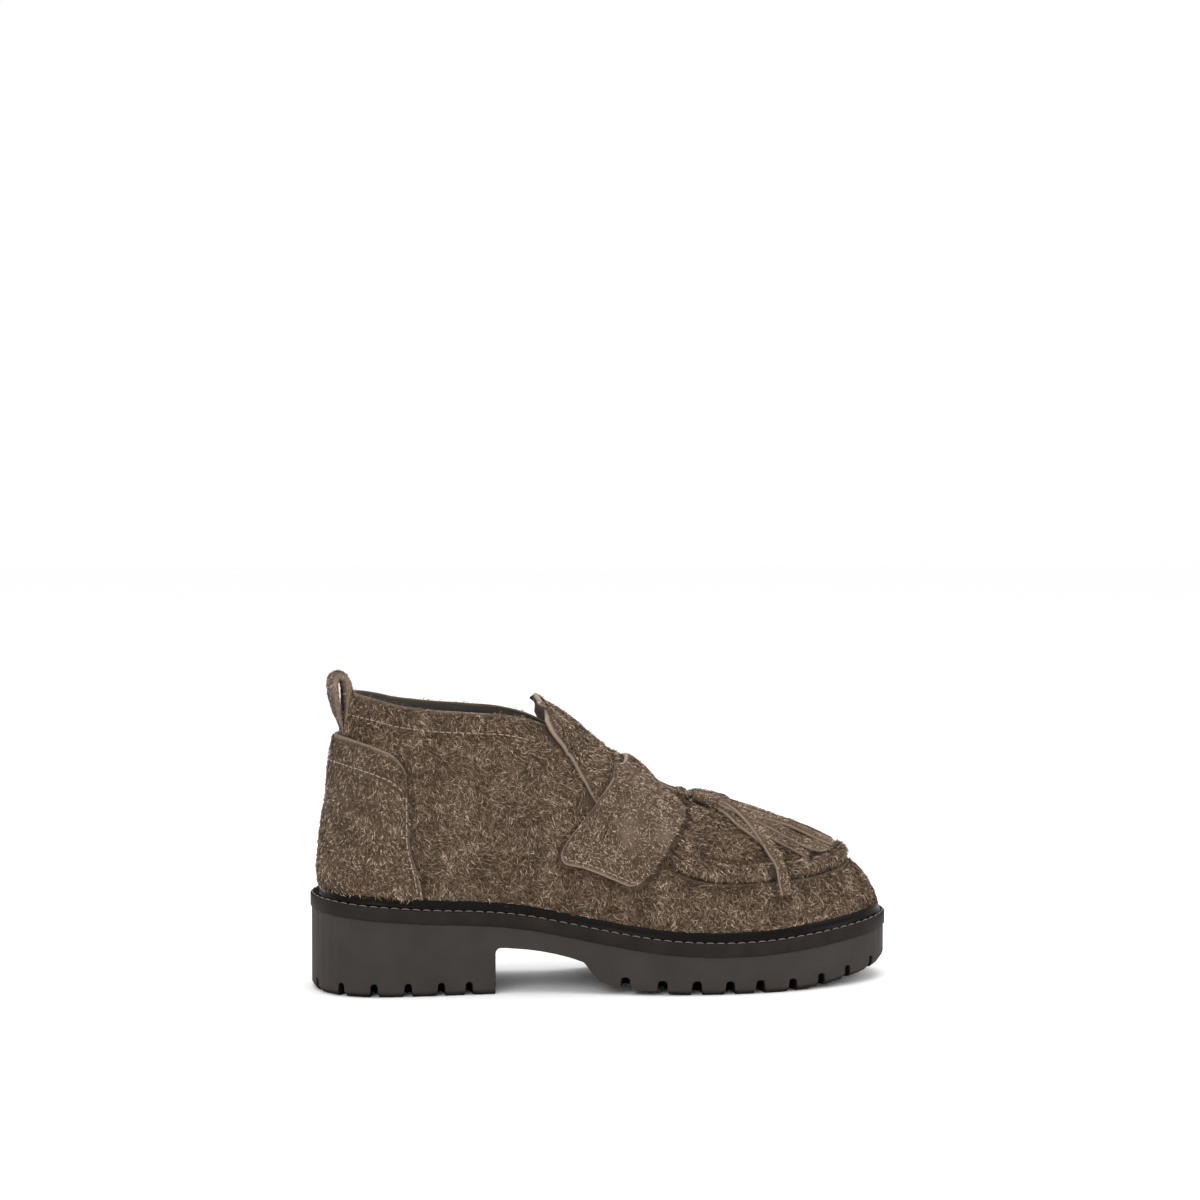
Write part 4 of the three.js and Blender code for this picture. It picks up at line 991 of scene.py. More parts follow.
loop_row = LOOP_PATH(np.linspace(0, 14, 90))
loop_path = np.column_stack([LOOP_DEPTH * loop_row.out, LOOP_RISE * loop_row.above])
loop_forward = unit(np.gradient(loop_path, axis=0))
loop_normal = np.column_stack([-loop_forward[:, 1], loop_forward[:, 0]])
loop_across, loop_through = flat_ring(28, 0.42)
loop_half = (0.5 * loop_row.wall[:, None] * loop_through)[..., None]
loop_flat = loop_path[:, None] + loop_normal[:, None] * loop_half
loop_y = np.broadcast_to(0.5 * LOOP_WIDTH * loop_across, loop_flat.shape[:2])
loop_z = COLLAR_HEIGHT + loop_flat[..., 1]
loop_free = smooth(loop_z, COLLAR_HEIGHT - 2 * LOOP_RISE, COLLAR_HEIGHT)
loop_x = back_at(loop_y, loop_z) - GAP - loop_flat[..., 0] - LOOP_TWIST * loop_y * loop_free
loop_points = np.stack([loop_x, loop_y, loop_z], -1)
loop_edge = np.clip((np.abs(loop_across) - 0.93) / 0.07, 0, 1) * (np.abs(loop_through) < 0.75)
pull_loop = closed_piece(
    "pull_loop",
    loop_points.reshape(-1, 3),
    list(ring_faces(*loop_points.shape[:2])),
    suede.material,
    cut=np.tile(0.7 * loop_edge, len(loop_path)),
    napped=np.broadcast_to(0.6, loop_points.shape[:2]).ravel(),
)
rides(pull_loop, "suede", "pull_loop")

# Counter
# A patch of the same suede laid round the heel and over the loop's feet. It is stitched down
# along its top and front edges, and its foot goes behind the rand.
COUNTER_CORNER = 10.0
COUNTER_SEAM = 12.5
COUNTER_FRONT_SEAM = 3.0
CORNER_LEVEL = 0.785
CORNER_ARC = 0.035
# The counter's front and top edge, as shares of the collar's height and of the sole's length
COUNTER_FRONT = table("height along", [
    (0.2, 0.188), (0.34, 0.184), (0.41, 0.176), (0.47, 0.1665), (0.6, 0.162),
    (CORNER_LEVEL, 0.158),
])
COUNTER_TOP = table("along height", [
    (0.04, 0.857), (0.06, 0.85), (0.1, 0.83), (0.158, CORNER_LEVEL),
])


def edge_shares(count):
    """Places from 0 to 1 that lie close together at both ends, for a rounded edge."""
    fine = np.array([0, 0.004, 0.009, 0.016])
    return np.concatenate([fine, np.linspace(0.03, 0.97, count), 1 - fine[::-1]])


def edge_distance(points, edges="rear front bottom top"):
    """Millimetres from each point of a grid to the nearest of its named edges."""
    rows = np.linalg.norm(np.diff(points, axis=0, prepend=points[:1]), axis=-1).cumsum(0)
    columns = np.linalg.norm(np.diff(points, axis=1, prepend=points[:, :1]), axis=-1).cumsum(1)
    away = {
        "rear": rows, "front": rows[-1:] - rows, "bottom": columns, "top": columns[:, -1:] - columns,
    }
    return np.minimum.reduce([away[edge] for edge in edges.split()])


def patch_piece(name, surface, around, up, under, wall, edge, material, closed_from, **marks):
    """A sheet laid on a surface: its under side, its wall, and an upper edge worn round."""
    wear_and_painted_light = np.sqrt(1 - (1 - np.clip(edge / 1.1, 0, 1)) ** 2)
    normal = normal_of(surface, around, up, closed_from)
    base = surface(around, up)
    inner = base + normal * np.asarray(under)[..., None]
    outer = base + normal * (under + wall * (0.55 + 0.45 * wear_and_painted_light))[..., None]
    edges = {edge: slice(None) for edge in ("rear", "front", "bottom", "top")}
    return wall_piece(name, outer, inner, edges, material, marks), outer, normal


def around_at(x, height, side):
    """The ribs on which places seen from the side lie."""
    return halved(
        x.shape, 0.0, 0.5, 18,
        lambda around: last(side * around, up_to(around, height))[..., 0] < x,
    )


counter_s = np.sin(0.5 * pi * np.linspace(-1, 1, 111))
counter_t = edge_shares(44)
corner_height = CORNER_LEVEL * COLLAR_HEIGHT - 0.8 * COUNTER_CORNER
fine_heights = np.linspace(0.2 * COLLAR_HEIGHT, corner_height, 40)
front_ribs = around_at(
    LENGTH * COUNTER_FRONT(fine_heights / COLLAR_HEIGHT).along, fine_heights, 1.0
)
front_foot = last(0.28, 0)[2] + RAND_HEIGHT
front_start = float(np.interp(front_foot, fine_heights, front_ribs))
low_height = float(last(front_start, 0)[2] + RAND_HEIGHT + GAP)
counter_level = low_height + counter_t * (corner_height - low_height)
counter_reach = np.interp(counter_level, fine_heights, front_ribs)
counter_around = counter_s[:, None] * counter_reach
end_ribs = np.abs(counter_s) * counter_reach[-1]
end_x = last(end_ribs, 0.62)[:, 0]
arc = np.clip((end_ribs - counter_reach[-1] + CORNER_ARC) / CORNER_ARC, 0, 1)
top_level = COLLAR_HEIGHT * COUNTER_TOP(end_x / LENGTH).height
top_level = top_level - 0.8 * COUNTER_CORNER * (1 - np.sqrt(1 - arc**2.2))
foot_level = last(counter_around, 0)[..., 2] + RAND_HEIGHT + GAP
counter_height = foot_level + (top_level[:, None] - foot_level) * counter_t
counter_up = up_to(counter_around, counter_height)
counter_flat = last(counter_around, counter_up)


def over_loop(points):
    """How far a point lies over the loop's feet, from 0 to 1."""
    beside = LOOP_WIDTH / 2 + 2 * GAP
    middle = 1 - smooth(np.abs(points[..., 1]), beside, beside + LOOP_SETTLE)
    foot = COLLAR_HEIGHT - LOOP_FOOT
    return middle * smooth(points[..., 2], foot - 3 * LOOP_SETTLE, foot)


counter_edge = edge_distance(counter_flat, "rear front top")
counter_side = edge_distance(counter_flat, "rear front")
counter_under = GAP + (LOOP_TUCK + GAP) * over_loop(counter_flat)
counter_pull = -0.45 * hump(counter_edge - 4.2, 1.1)
counter_waves = 0.3 * drift(counter_flat, 22, 31) * smooth(counter_edge, 0, 8)
counter_drop = edge_distance(counter_flat, "top")
counter_parting = np.maximum(
    hump(counter_drop - COUNTER_SEAM, 0.8),
    hump(counter_side - COUNTER_FRONT_SEAM, 0.8),
)
counter, counter_outer, counter_normal = patch_piece(
    "counter", last, counter_around, counter_up, counter_under,
    COUNTER_WALL + 0.5 + counter_pull + counter_waves, counter_edge, suede.material, THROAT,
    cut=0.6 * hump(counter_edge, 0.8),
    napped=smooth(counter_edge, 0.2, 1.4) * (1 - 0.8 * counter_parting),
)
rides(counter, "suede", "counter")

# Tongue
# A stiff flap of suede over the throat. It stands up in front of the ankle with a raw, pale edge,
# and its front end is sewn down under the saddle strap.
TONGUE_WALL = 1.9
TONGUE_STANDOFF = 3.0
SHEET_GAP = 0.5
TONGUE_TIP = 0.434
TONGUE_END = 0.59
TONGUE_HIDDEN = 0.57
# The tongue's edge and lift on each rib, its crest along the boot and up, and where it is free
TONGUE = table("around edge lift along up free", [
    (TONGUE_TIP, 0.995, 1, 0.3832, 0.9, 1), (0.442, 0.95, 0.9, 0.395, 0.79, 1),
    (0.458, 0.87, 0.6, 0.4129, 0.684, 1), (0.474, 0.755, 0.3, 0.4343, 0.534, 1),
    (0.486, 0.65, 0.22, 0.4521, 0.401, 1), (0.498, 0.56, 0.1, 0.4682, 0.283, 1),
    (0.514, 0.475, 0, 0.4914, 0.117, 1), (THROAT, 0.43, 0, 0.5071, 0.005, 1),
    (0.548, 0.415, 0, 0.529, -0.12, 0), (TONGUE_END, 0.46, 0, 0.585, -0.4, 0),
])


def dressed_last(around, up):
    """The last as the tongue closes it: the same, with a roof over the throat."""
    around, up, t, side = on_ribs(around, up)
    row = TONGUE(t)
    plain = last(around, up)
    edge_lift = TONGUE_STANDOFF * row.lift
    beside = skin(last, around, up, edge_lift * (1 - smooth(row.edge - up, 0, 0.2)))
    edge = skin(last, side * t, row.edge, edge_lift)
    climb = unit(edge - skin(last, side * t, row.edge - 0.05, edge_lift))
    rise = (COLLAR_HEIGHT - INSTEP_HEIGHT) * row.up
    crest = np.stack(
        [LENGTH * row.along, np.full(t.shape, CREST_SHIFT), INSTEP_HEIGHT + rise], -1
    )
    half = np.abs(edge[..., 1] - CREST_SHIFT)
    eave = crest + np.stack([0 * half, side * 0.55 * half, -0.16 * half], -1)
    stiff = edge + climb * (0.4 * np.linalg.norm(edge - crest, axis=-1))[..., None]
    roof = bezier(crest, eave, stiff, edge, (1 - up) / (1 - row.edge))
    free = smooth(row.free, 0, 1)[..., None]
    dressed = np.where((up <= row.edge)[..., None], beside, plain * (1 - free) + roof * free)
    covered = (t >= TONGUE_TIP) & (t <= TONGUE_END) & (row.free > 0)
    return np.where(covered[..., None], dressed, plain)


tongue_t = TONGUE_TIP + (TONGUE_HIDDEN - TONGUE_TIP) * edge_shares(46)
tongue_across = 2 * edge_shares(52) - 1
tongue_around = tongue_t[:, None] * np.where(tongue_across < 0, -1, 1)
tongue_up = 1 - np.abs(tongue_across) * (1 - TONGUE(tongue_t).edge[:, None])
tongue_flat = dressed_last(tongue_around, tongue_up)
tongue_edge = edge_distance(tongue_flat, "rear bottom top")
tongue_waves = 0.28 * drift(tongue_flat, 26, 41) * smooth(tongue_edge, 0, 7)
tongue, _, _ = patch_piece(
    "tongue", dressed_last, tongue_around, tongue_up, np.full(tongue_up.shape, SHEET_GAP),
    TONGUE_WALL + tongue_waves, tongue_edge, suede.material, TONGUE_TIP,
    cut=hump(tongue_edge, 0.9),
    napped=smooth(tongue_edge, 0.9, 2.2),
)
rides(tongue, "suede", "tongue")

# Saddle strap
# The band of suede across the instep, over the tongue and down to the vamp on each side. Its ends
# are rounded and stitched down, and the front edge has a notch for the tassel's thong.
STRAP_WALL = 2.0
STRAP_SEAM = 3.0
STRAP_SLACK = 0.45
STRAP_REAR_FOOT = 0.558
STRAP_FRONT_FOOT = 0.444
# The strap's rear and front line, as shares of the instep's height and of the sole's length
STRAP_REAR = table("height along", [
    (0.5, 0.406), (STRAP_REAR_FOOT, 0.411), (0.64, 0.425), (0.7, 0.444), (0.79, 0.476), (0.9, 0.512),
    (1, 0.5445), (1.2, 0.6),
])
STRAP_FRONT = [(0.3, 0.497), (STRAP_FRONT_FOOT, 0.5425), (0.765, 0.646), (1.3, 0.646)]
NOTCH_AT = 0.583
NOTCH_MOUTH = 0.644
NOTCH_HALF = 0.185
NOTCH_SHARP = 7
LINE_SHARP = 160


def strap_front(points):
    """How far forward the strap may reach at a point: its side line, and the notch at the crest."""
    heights, reaches = np.array(STRAP_FRONT).T
    by_side = np.interp(points[..., 2] / INSTEP_HEIGHT, heights, reaches)
    out = np.abs(points[..., 1] - CREST_SHIFT) / (NOTCH_HALF * BALL_WIDTH)
    opened = 1 - np.log1p(np.exp((1 - out) * NOTCH_SHARP)) / NOTCH_SHARP
    by_notch = NOTCH_AT + (NOTCH_MOUTH - NOTCH_AT) * opened
    over = np.log1p(np.exp((by_side - by_notch) * LINE_SHARP)) / LINE_SHARP
    return LENGTH * (by_side - over)


def strap_rear(points):
    """How far forward the strap begins at a point."""
    return LENGTH * STRAP_REAR(points[..., 2] / INSTEP_HEIGHT).along


def strap_limits(side, limit):
    """Ribs on which a limiting line crosses each level, with the heights there."""
    levels = np.linspace(0.16, 1, 160)

    def behind(around):
        point = dressed_last(side * around, levels)
        return point[:, 0] < limit(point)

    around = halved(levels.shape, 0.4, 0.655, 16, behind)
    return levels, around, dressed_last(side * around, levels)[:, 2] / INSTEP_HEIGHT


def strap_half(side, down, along):
    """Ribs and levels over one half of the strap: down is 0 at its end and 1 at the crest."""
    levels, rear, rear_height = strap_limits(side, strap_rear)
    _, front, front_height = strap_limits(side, strap_front)
    rear_foot = np.interp(STRAP_REAR_FOOT, rear_height, levels)
    front_foot = np.interp(STRAP_FRONT_FOOT, front_height, levels)
    corner = np.where(
        along < 0.5, np.clip(1 - along / 0.16, 0, 1), np.clip(1 - (1 - along) / 0.13, 0, 1)
    )
    lost = 0.085 * (1 - np.sqrt(1 - corner**2.2))
    share = lost + (1 - lost) * down[:, None]
    rear_level = rear_foot + (1 - rear_foot) * share
    front_level = front_foot + (1 - front_foot) * share
    rear_rib = np.interp(rear_level, levels, rear)
    front_rib = np.interp(front_level, levels, front)
    rib_here = rear_rib + (front_rib - rear_rib) * along
    return side * rib_here, rear_level + (front_level - rear_level) * along


strap_along = edge_shares(40)
strap_down = np.concatenate([[0, 0.004, 0.01, 0.018], np.linspace(0.035, 1, 64)])
outer_around, outer_up = strap_half(-1.0, strap_down, strap_along)
inner_around, inner_up = strap_half(1.0, strap_down, strap_along)
strap_around = np.concatenate([outer_around, inner_around[-2::-1]])
strap_up = np.minimum(np.concatenate([outer_up, inner_up[-2::-1]]), 1)
strap_flat = dressed_last(strap_around, strap_up)
strap_edge = edge_distance(strap_flat)
strap_ribs = np.abs(strap_around)
strap_tongue = (1 - smooth(strap_ribs, TONGUE_HIDDEN, TONGUE_HIDDEN + 0.035)) * smooth(
    strap_up - TONGUE(strap_ribs).edge, -0.15, -0.03
)
strap_under = SHEET_GAP + np.maximum(
    (TONGUE_WALL + SHEET_GAP + STRAP_SLACK) * strap_tongue, 1.15 * roll(strap_around, strap_up)
)
strap_pull = -0.4 * hump(strap_edge - 3.0, 0.9)
strap_waves = 0.3 * drift(strap_flat, 19, 51) * smooth(strap_edge, 0, 6)
# Two ovals of the outer end are rubbed smooth and pale
strap_rubbed = sum(
    np.exp(-(((strap_flat[..., 0] - x) / wide) ** 2) - ((strap_flat[..., 2] - z) / high) ** 2)
    for x, z, wide, high in ((149, 73, 5, 8), (165, 72, 4, 6))
) * (strap_flat[..., 1] < 0)
strap_drop = edge_distance(strap_flat, "rear front")
strap_parting = hump(strap_drop - STRAP_SEAM, 0.8)
saddle_strap, strap_outer, strap_normal = patch_piece(
    "saddle_strap", dressed_last, strap_around, strap_up, strap_under,
    STRAP_WALL + strap_pull + strap_waves, strap_edge, suede.material, TONGUE_TIP,
    cut=np.maximum(hump(strap_edge, 0.9), 0.3 * strap_rubbed),
    napped=smooth(strap_edge, 0.8, 2) * (1 - 0.7 * strap_rubbed) * (1 - 0.7 * strap_parting),
)
rides(saddle_strap, "suede", "saddle_strap")

# Thong, knot and tassels
# A narrow suede thong comes out of the strap's notch and is wound once round itself. It holds two
# tassels: rolled heads with a fringe of cut strips, one of which has slipped down the outer side.
STRIP_WIDTH = 4.4
STRIP_WALL = 1.8
HEAD_LENGTH = 19.0
HEAD_WIDTH = 10.6
HEAD_HEIGHT = 5.6
THONG_WIDTH = 3.4
THONG_WALL = 2.2
COIL_WALL = 1.3
KNOT = 4.6
KNOT_AT = 0.637 * LENGTH

upper_tree = BVHTree.FromPolygons(
    suede_outer.reshape(-1, 3).tolist(), grid_faces(*suede_up.shape).tolist()
)


def eased(values, passes=6):
    """A line of values with its small steps smoothed away."""
    for _ in range(passes):
        values = np.concatenate(
            [values[:1], (values[:-2] + 2 * values[1:-1] + values[2:]) / 4, values[-1:]]
        )
    return values


def on_vamp(x, y):
    """Places and directions of the suede straight under points of the plan."""
    places, directions = [], []
    for along, across in zip(x, y):
        place, direction, _, _ = upper_tree.ray_cast(Vector((along, across, 200)), Vector((0, 0, -1)))
        direction = direction if direction.z > 0 else -direction
        places.append(tuple(place))
        directions.append(tuple(direction))
    return np.array(places), unit(eased(np.array(directions)))


def strip_of(middle, normal, width, wall, sides=14):
    """Rings of a flat strip's section along a line, and how much each point lies on a cut side."""
    forward = unit(np.gradient(middle, axis=0))
    across = unit(np.cross(forward, normal))
    up = unit(np.cross(across, forward))
    ring_across, ring_through = flat_ring(sides, 0.45)
    width, wall = (np.broadcast_to(size, len(middle))[:, None] for size in (width, wall))
    side_reach = (0.5 * width * ring_across)[..., None] * across[:, None]
    high_reach = (0.5 * wall * ring_through)[..., None] * up[:, None]
    cut_side = np.tile(np.abs(ring_across) > 0.9, (len(middle), 1))
    return middle[:, None] + side_reach + high_reach, cut_side.astype(float)


def gather(parts):
    """Several tubes of rings as one list of points, faces and marks."""
    points, tubes, fans, cuts = [], [], [], []
    start = 0
    for rings, cut_side in parts:
        tube, fan = ring_faces(*rings.shape[:2], start)
        points.append(rings.reshape(-1, 3))
        tubes.append(tube)
        fans.append(fan)
        cuts.append(cut_side.ravel())
        start += len(points[-1])
    return np.concatenate(points), [np.concatenate(tubes), np.concatenate(fans)], np.concatenate(cuts)


def suede_bundle(name, parts):
    """One piece of several strips. Its cut sides are pale and bare."""
    points, faces, cuts = gather(parts)
    piece = closed_piece(
        name, points, faces, suede.material, cut=0.85 * cuts, napped=0.9 * (1 - cuts)
    )
    rides(piece, "tassel", name)
    return piece


thong_x = np.linspace(NOTCH_AT * LENGTH - 4, KNOT_AT + 2 * KNOT, 26)
thong_place, thong_up = on_vamp(thong_x, np.full(len(thong_x), CREST_SHIFT))
thong_place[:, 2] = eased(thong_place[:, 2:], 12)[:, 0]
thong_middle = thong_place + thong_up * (GAP + 0.75 * THONG_WALL)
thong_parts = [strip_of(thong_middle, thong_up, THONG_WIDTH, 0.8 * THONG_WALL)]
knot_seat, knot_up = on_vamp([KNOT_AT - 1, KNOT_AT, KNOT_AT + 1], [CREST_SHIFT] * 3)
knot_centre = knot_seat[1] + knot_up[1] * (0.9 * THONG_WALL + GAP)
knot_forward = unit(knot_seat[2] - knot_seat[0])
knot_side = np.cross(knot_up[1], knot_forward)
turn = np.linspace(0, 2 * pi, 40)
for start, lean in ((-0.5, 0.35), (0.5, -0.3), (1.5, 0.25)):
    knot_along = (start + lean * np.cos(turn))[:, None] * 0.6 * KNOT * knot_forward
    coil = (
        knot_along
        + (1.0 * THONG_WIDTH * np.sin(turn))[:, None] * knot_side
        + (0.55 * THONG_WALL * np.cos(turn))[:, None] * knot_up[1]
    )
    outwards = unit(coil - knot_along)
    thong_parts.append(strip_of(knot_centre + coil, outwards, 0.85 * THONG_WIDTH, COIL_WALL))
tassel_thong = suede_bundle("tassel_thong", thong_parts)

# Where each strip of a fringe ends along the sole and across from the crest, how far it bows in
# strip widths, and how many layers up it starts and ends
OUTER_STRIPS = [
    (0.9, -0.03, 0, 1.4, 0.9), (0.899, -0.066, -0.25, 0.4, 0.1), (0.896, -0.104, -0.5, 1.5, 0.9),
    (0.89, -0.143, -0.7, 0.5, 0.1), (0.879, -0.184, -0.95, 1.3, 0.7),
    (0.845, -0.235, -0.7, 0.3, 0.1), (0.79, -0.29, -0.5, 0.2, 0.1),
]
INNER_STRIPS = [
    (0.9, 0.034, 0, 1.3, 0.9), (0.9, 0.072, 0.25, 0.4, 0.1), (0.897, 0.112, 0.5, 1.4, 0.8),
    (0.89, 0.153, 0.7, 0.4, 0.1), (0.876, 0.196, 0.95, 1.2, 0.6), (0.845, 0.25, 0.95, 0.3, 0.1),
    (0.8, 0.3, 0.7, 0.2, 0.1),
]
HEAD_BARREL = table("along out", [
    (0, 0.22), (0.03, 0.31), (0.12, 0.37), (0.35, 0.46), (0.55, 0.49), (0.7, 0.5), (0.88, 0.47),
    (0.96, 0.42), (1, 0.3),
])
HEAD_FROM = KNOT_AT + KNOT + 2 * GAP


def head_centre(side):
    """The two heads lie side by side on the crest."""
    return CREST_SHIFT + side * (HEAD_WIDTH / 2 + GAP)


def tassel_head(side):
    """A band of suede rolled round the fringe's root, its free edge lying along the top."""
    share = np.linspace(0, 1, 34)
    x = HEAD_FROM + HEAD_LENGTH * share
    place, up = on_vamp(x, np.full(len(x), head_centre(side)))
    seat = place + up * (HEAD_HEIGHT / 2 + SHEET_GAP)
    first, final = seat[0], seat[-1]
    middle = first + (final - first) * share[:, None]
    up = unit(up.mean(0))
    across = unit(np.cross(final - first, up))
    turn = np.linspace(0, 2 * pi, 56, endpoint=False)
    rolled = 1 + 0.09 * (((turn - 1.9 * side) % (2 * pi)) / (2 * pi) - 0.5)
    out = HEAD_BARREL(share).out[:, None] * rolled
    out = out * (1 + 0.04 * np.sin(3 * turn + 5 * share[:, None]))
    wide = (HEAD_WIDTH * out * np.cos(turn))[..., None] * across
    tall = (HEAD_HEIGHT * out * np.sin(turn))[..., None] * np.cross(across, unit(final - first))
    rings = middle[:, None] + wide + tall
    pale = np.broadcast_to((share[:, None] > 0.97) * 0.8, rings.shape[:2])
    return rings, pale


def fringe(strips, side):
    """The head and the strips of one tassel."""
    parts = [tassel_head(side)]
    for index, (end_along, end_across, bow, high, low) in enumerate(strips):
        fan = np.clip(index / (len(strips) - 1) - 0.2, -0.5, 0.6)
        start = np.array([
            HEAD_FROM + 0.6 * HEAD_LENGTH, head_centre(side) + side * 0.28 * HEAD_WIDTH * fan
        ])
        end = np.array([end_along * LENGTH, CREST_SHIFT + end_across * BALL_WIDTH])
        way = unit(end - start)
        share = np.linspace(0, 1, 44)
        swing = bow * STRIP_WIDTH * 4 * share * (1 - share) + 0.7 * np.sin(3 * pi * share + index)
        flat = start + (end - start) * share[:, None]
        flat = flat + swing[:, None] * np.array([-way[1], way[0]])
        place, up = on_vamp(flat[:, 0], flat[:, 1])
        place[:, 2] = eased(place[:, 2:], 20)[:, 0]
        layer = high + (low - high) * smooth(share, 0.15, 0.8)
        wave = 0.35 * np.sin(2.3 * pi * share + 1.7 * index) * smooth(share, 0.2, 0.6)
        middle = place + up * (SHEET_GAP + STRIP_WALL * (0.5 + layer) + np.maximum(wave, 0))[:, None]
        width = STRIP_WIDTH * (0.97 + 0.07 * np.sin(7 * share + 2 * index))
        parts.append(strip_of(middle, up, width, STRIP_WALL))
    return parts


# The way of the strip that has slipped down the outer side, and its lift in strip walls
SLIPPED = table("share around up lift", [
    (0, 0.672, 0.95, 1.75), (0.3, 0.69, 0.82, 2.25), (0.6, 0.706, 0.62, 1.45),
    (0.8, 0.709, 0.45, 2), (1, 0.712, 0.26, 0.65),
])
slipped_row = SLIPPED(np.linspace(0, 1, 60))
slipped_under = last(-slipped_row.around, slipped_row.up)
slipped_up = normal_of(last, -slipped_row.around, slipped_row.up)
slipped_lift = (
    GAP + 1.4 * roll(-slipped_row.around, slipped_row.up) + (0.4 + slipped_row.lift) * STRIP_WALL
)
slipped_middle = slipped_under + slipped_up * eased(slipped_lift[:, None], 10)
slipped_width = STRIP_WIDTH * (1.08 + 0.08 * np.sin(5 * slipped_row.up))
slipped_strip = strip_of(slipped_middle, slipped_up, slipped_width, 1.15 * STRIP_WALL)
tassel_outer = suede_bundle("tassel_outer", [*fringe(OUTER_STRIPS, -1), slipped_strip])
tassel_inner = suede_bundle("tassel_inner", fringe(INNER_STRIPS, 1))

# Seams
# Pale thread through the suede: one row under the collar, one along the counter's top and front,
# and one across each end of the saddle strap.
STITCH_PITCH = 3.1
STITCH_LENGTH = 2.3
STITCH_WIDTH = 0.55


def row_at(points, normals, away, distance, lift):
    """The line on a grid, row by row, where a distance from its edge has a given value."""
    line, facing = [], []
    for place, normal, far in zip(points, normals, away):
        order = np.argsort(far)
        for values, found in ((place, line), (normal, facing)):
            found.append([np.interp(distance, far[order], values[order, k]) for k in range(3)])
    facing = unit(np.array(facing))
    return np.array(line) + facing * lift, facing


by_collar = np.abs(suede_stations) < THROAT - 0.1
above_seam = slice(ROWS_BELOW + ROWS_ON_SEAM, None)
collar = [grid[by_collar][:, above_seam] for grid in (suede_outer, suede_normal, rim_distance)]
counter_top = [grid[8:-8] for grid in (counter_outer, counter_normal, counter_drop)]
seams = [row_at(*collar, COLLAR_SEAM, 0.9), row_at(*counter_top, COUNTER_SEAM, 0.8)]
counter_sheet = (counter_outer, counter_normal, slice(4, 42), COUNTER_FRONT_SEAM, 0.6)
strap_sheet = (strap_outer, strap_normal, slice(4, -4), STRAP_SEAM, 0.3)
for (outer, normal, columns, distance, lift), edge, rows in (
    (counter_sheet, "front", slice(70, None)), (counter_sheet, "rear", slice(None, 41)),
    (strap_sheet, "rear", slice(0, 30)), (strap_sheet, "front", slice(-30, None)),
):
    grids = (outer, normal, edge_distance(outer, edge))
    seams.append(row_at(*(grid[rows, columns].swapaxes(0, 1) for grid in grids), distance, lift))
suede_stitches = stitches(
    "suede_stitches", seams, STITCH_PITCH, STITCH_LENGTH, STITCH_WIDTH,
    thread_of("stitch_thread", (0.31, 0.25, 0.195)),
)
rides(suede_stitches, "suede")

# Nap
# Long, curly hairs of the suede, darker at the root, where painted shade stands for the shade down
# among the hairs, and pale at the tip. They lie mostly down and forward, in swirls, and are short
# where the leather has been rubbed or cut.
HAIR_WIDTH = 0.3
HAIR_COMB = np.array([0.5, 0.0, -0.85])
HAIR_SWIRL = 0.9
HAIR_STRAY = 0.62
HAIR_RISE = (8, 46)
FINE_SHARE = 0.8
COVER_REACH = 7.0
COVER_BESIDE = 0.9
COVER_SHADE = 4.5
SIDE_LINE = 4.0
HALF_WAY = -10.0

nap_material = new_material("nap", (0.16, 0.12, 0.085), 0.9)
feed(nap_material, "Base Color", shades(nap_material, marked(nap_material, "tone"), [
    (0.0, (0.022, 0.014, 0.009)), (0.3, (0.07, 0.046, 0.029)), (0.55, (0.15, 0.102, 0.067)),
    (0.8, (0.29, 0.212, 0.15)), (1.0, (0.52, 0.41, 0.32)),
]))
nap_material.shader.inputs["Specular IOR Level"].default_value = 0.12


def part_nap(host, patches):
    """Takes the nap off a host under and right beside its patches, and paints shade on its hairs next
    to them.
    """
    trees = []
    for patch in patches:
        points = [vertex.co for vertex in patch.data.vertices]
        trees.append(BVHTree.FromPolygons(points, [tuple(p.vertices) for p in patch.data.polygons]))
    if "wear" not in host.data.attributes:
        host.data.attributes.new("wear", "FLOAT", "POINT")
    napped = host.data.attributes["napped"].data
    wear = host.data.attributes["wear"].data
    for index, vertex in enumerate(host.data.vertices):
        start = vertex.co + vertex.normal * 0.2 * MM
        covered = any(tree.ray_cast(start, vertex.normal, COVER_REACH * MM)[0] for tree in trees)
        near = [tree.find_nearest(vertex.co, COVER_SHADE * MM)[3] for tree in trees]
        found = [distance / MM for distance in near if distance is not None]
        away = min(found, default=COVER_SHADE)
        if covered or away < COVER_BESIDE:
            napped[index].value = 0
        # Painted shade: the hairs' tone is lowered within a few millimetres of a patch
        wear[index].value -= 1.3 * (1 - away / COVER_SHADE)


def read_all(items, key, width, kind=np.float32):
    """One property of all points or triangles of a mesh, in rows."""
    values = np.empty(width * len(items), kind)
    items.foreach_get(key, values)
    return values.reshape(-1, width)


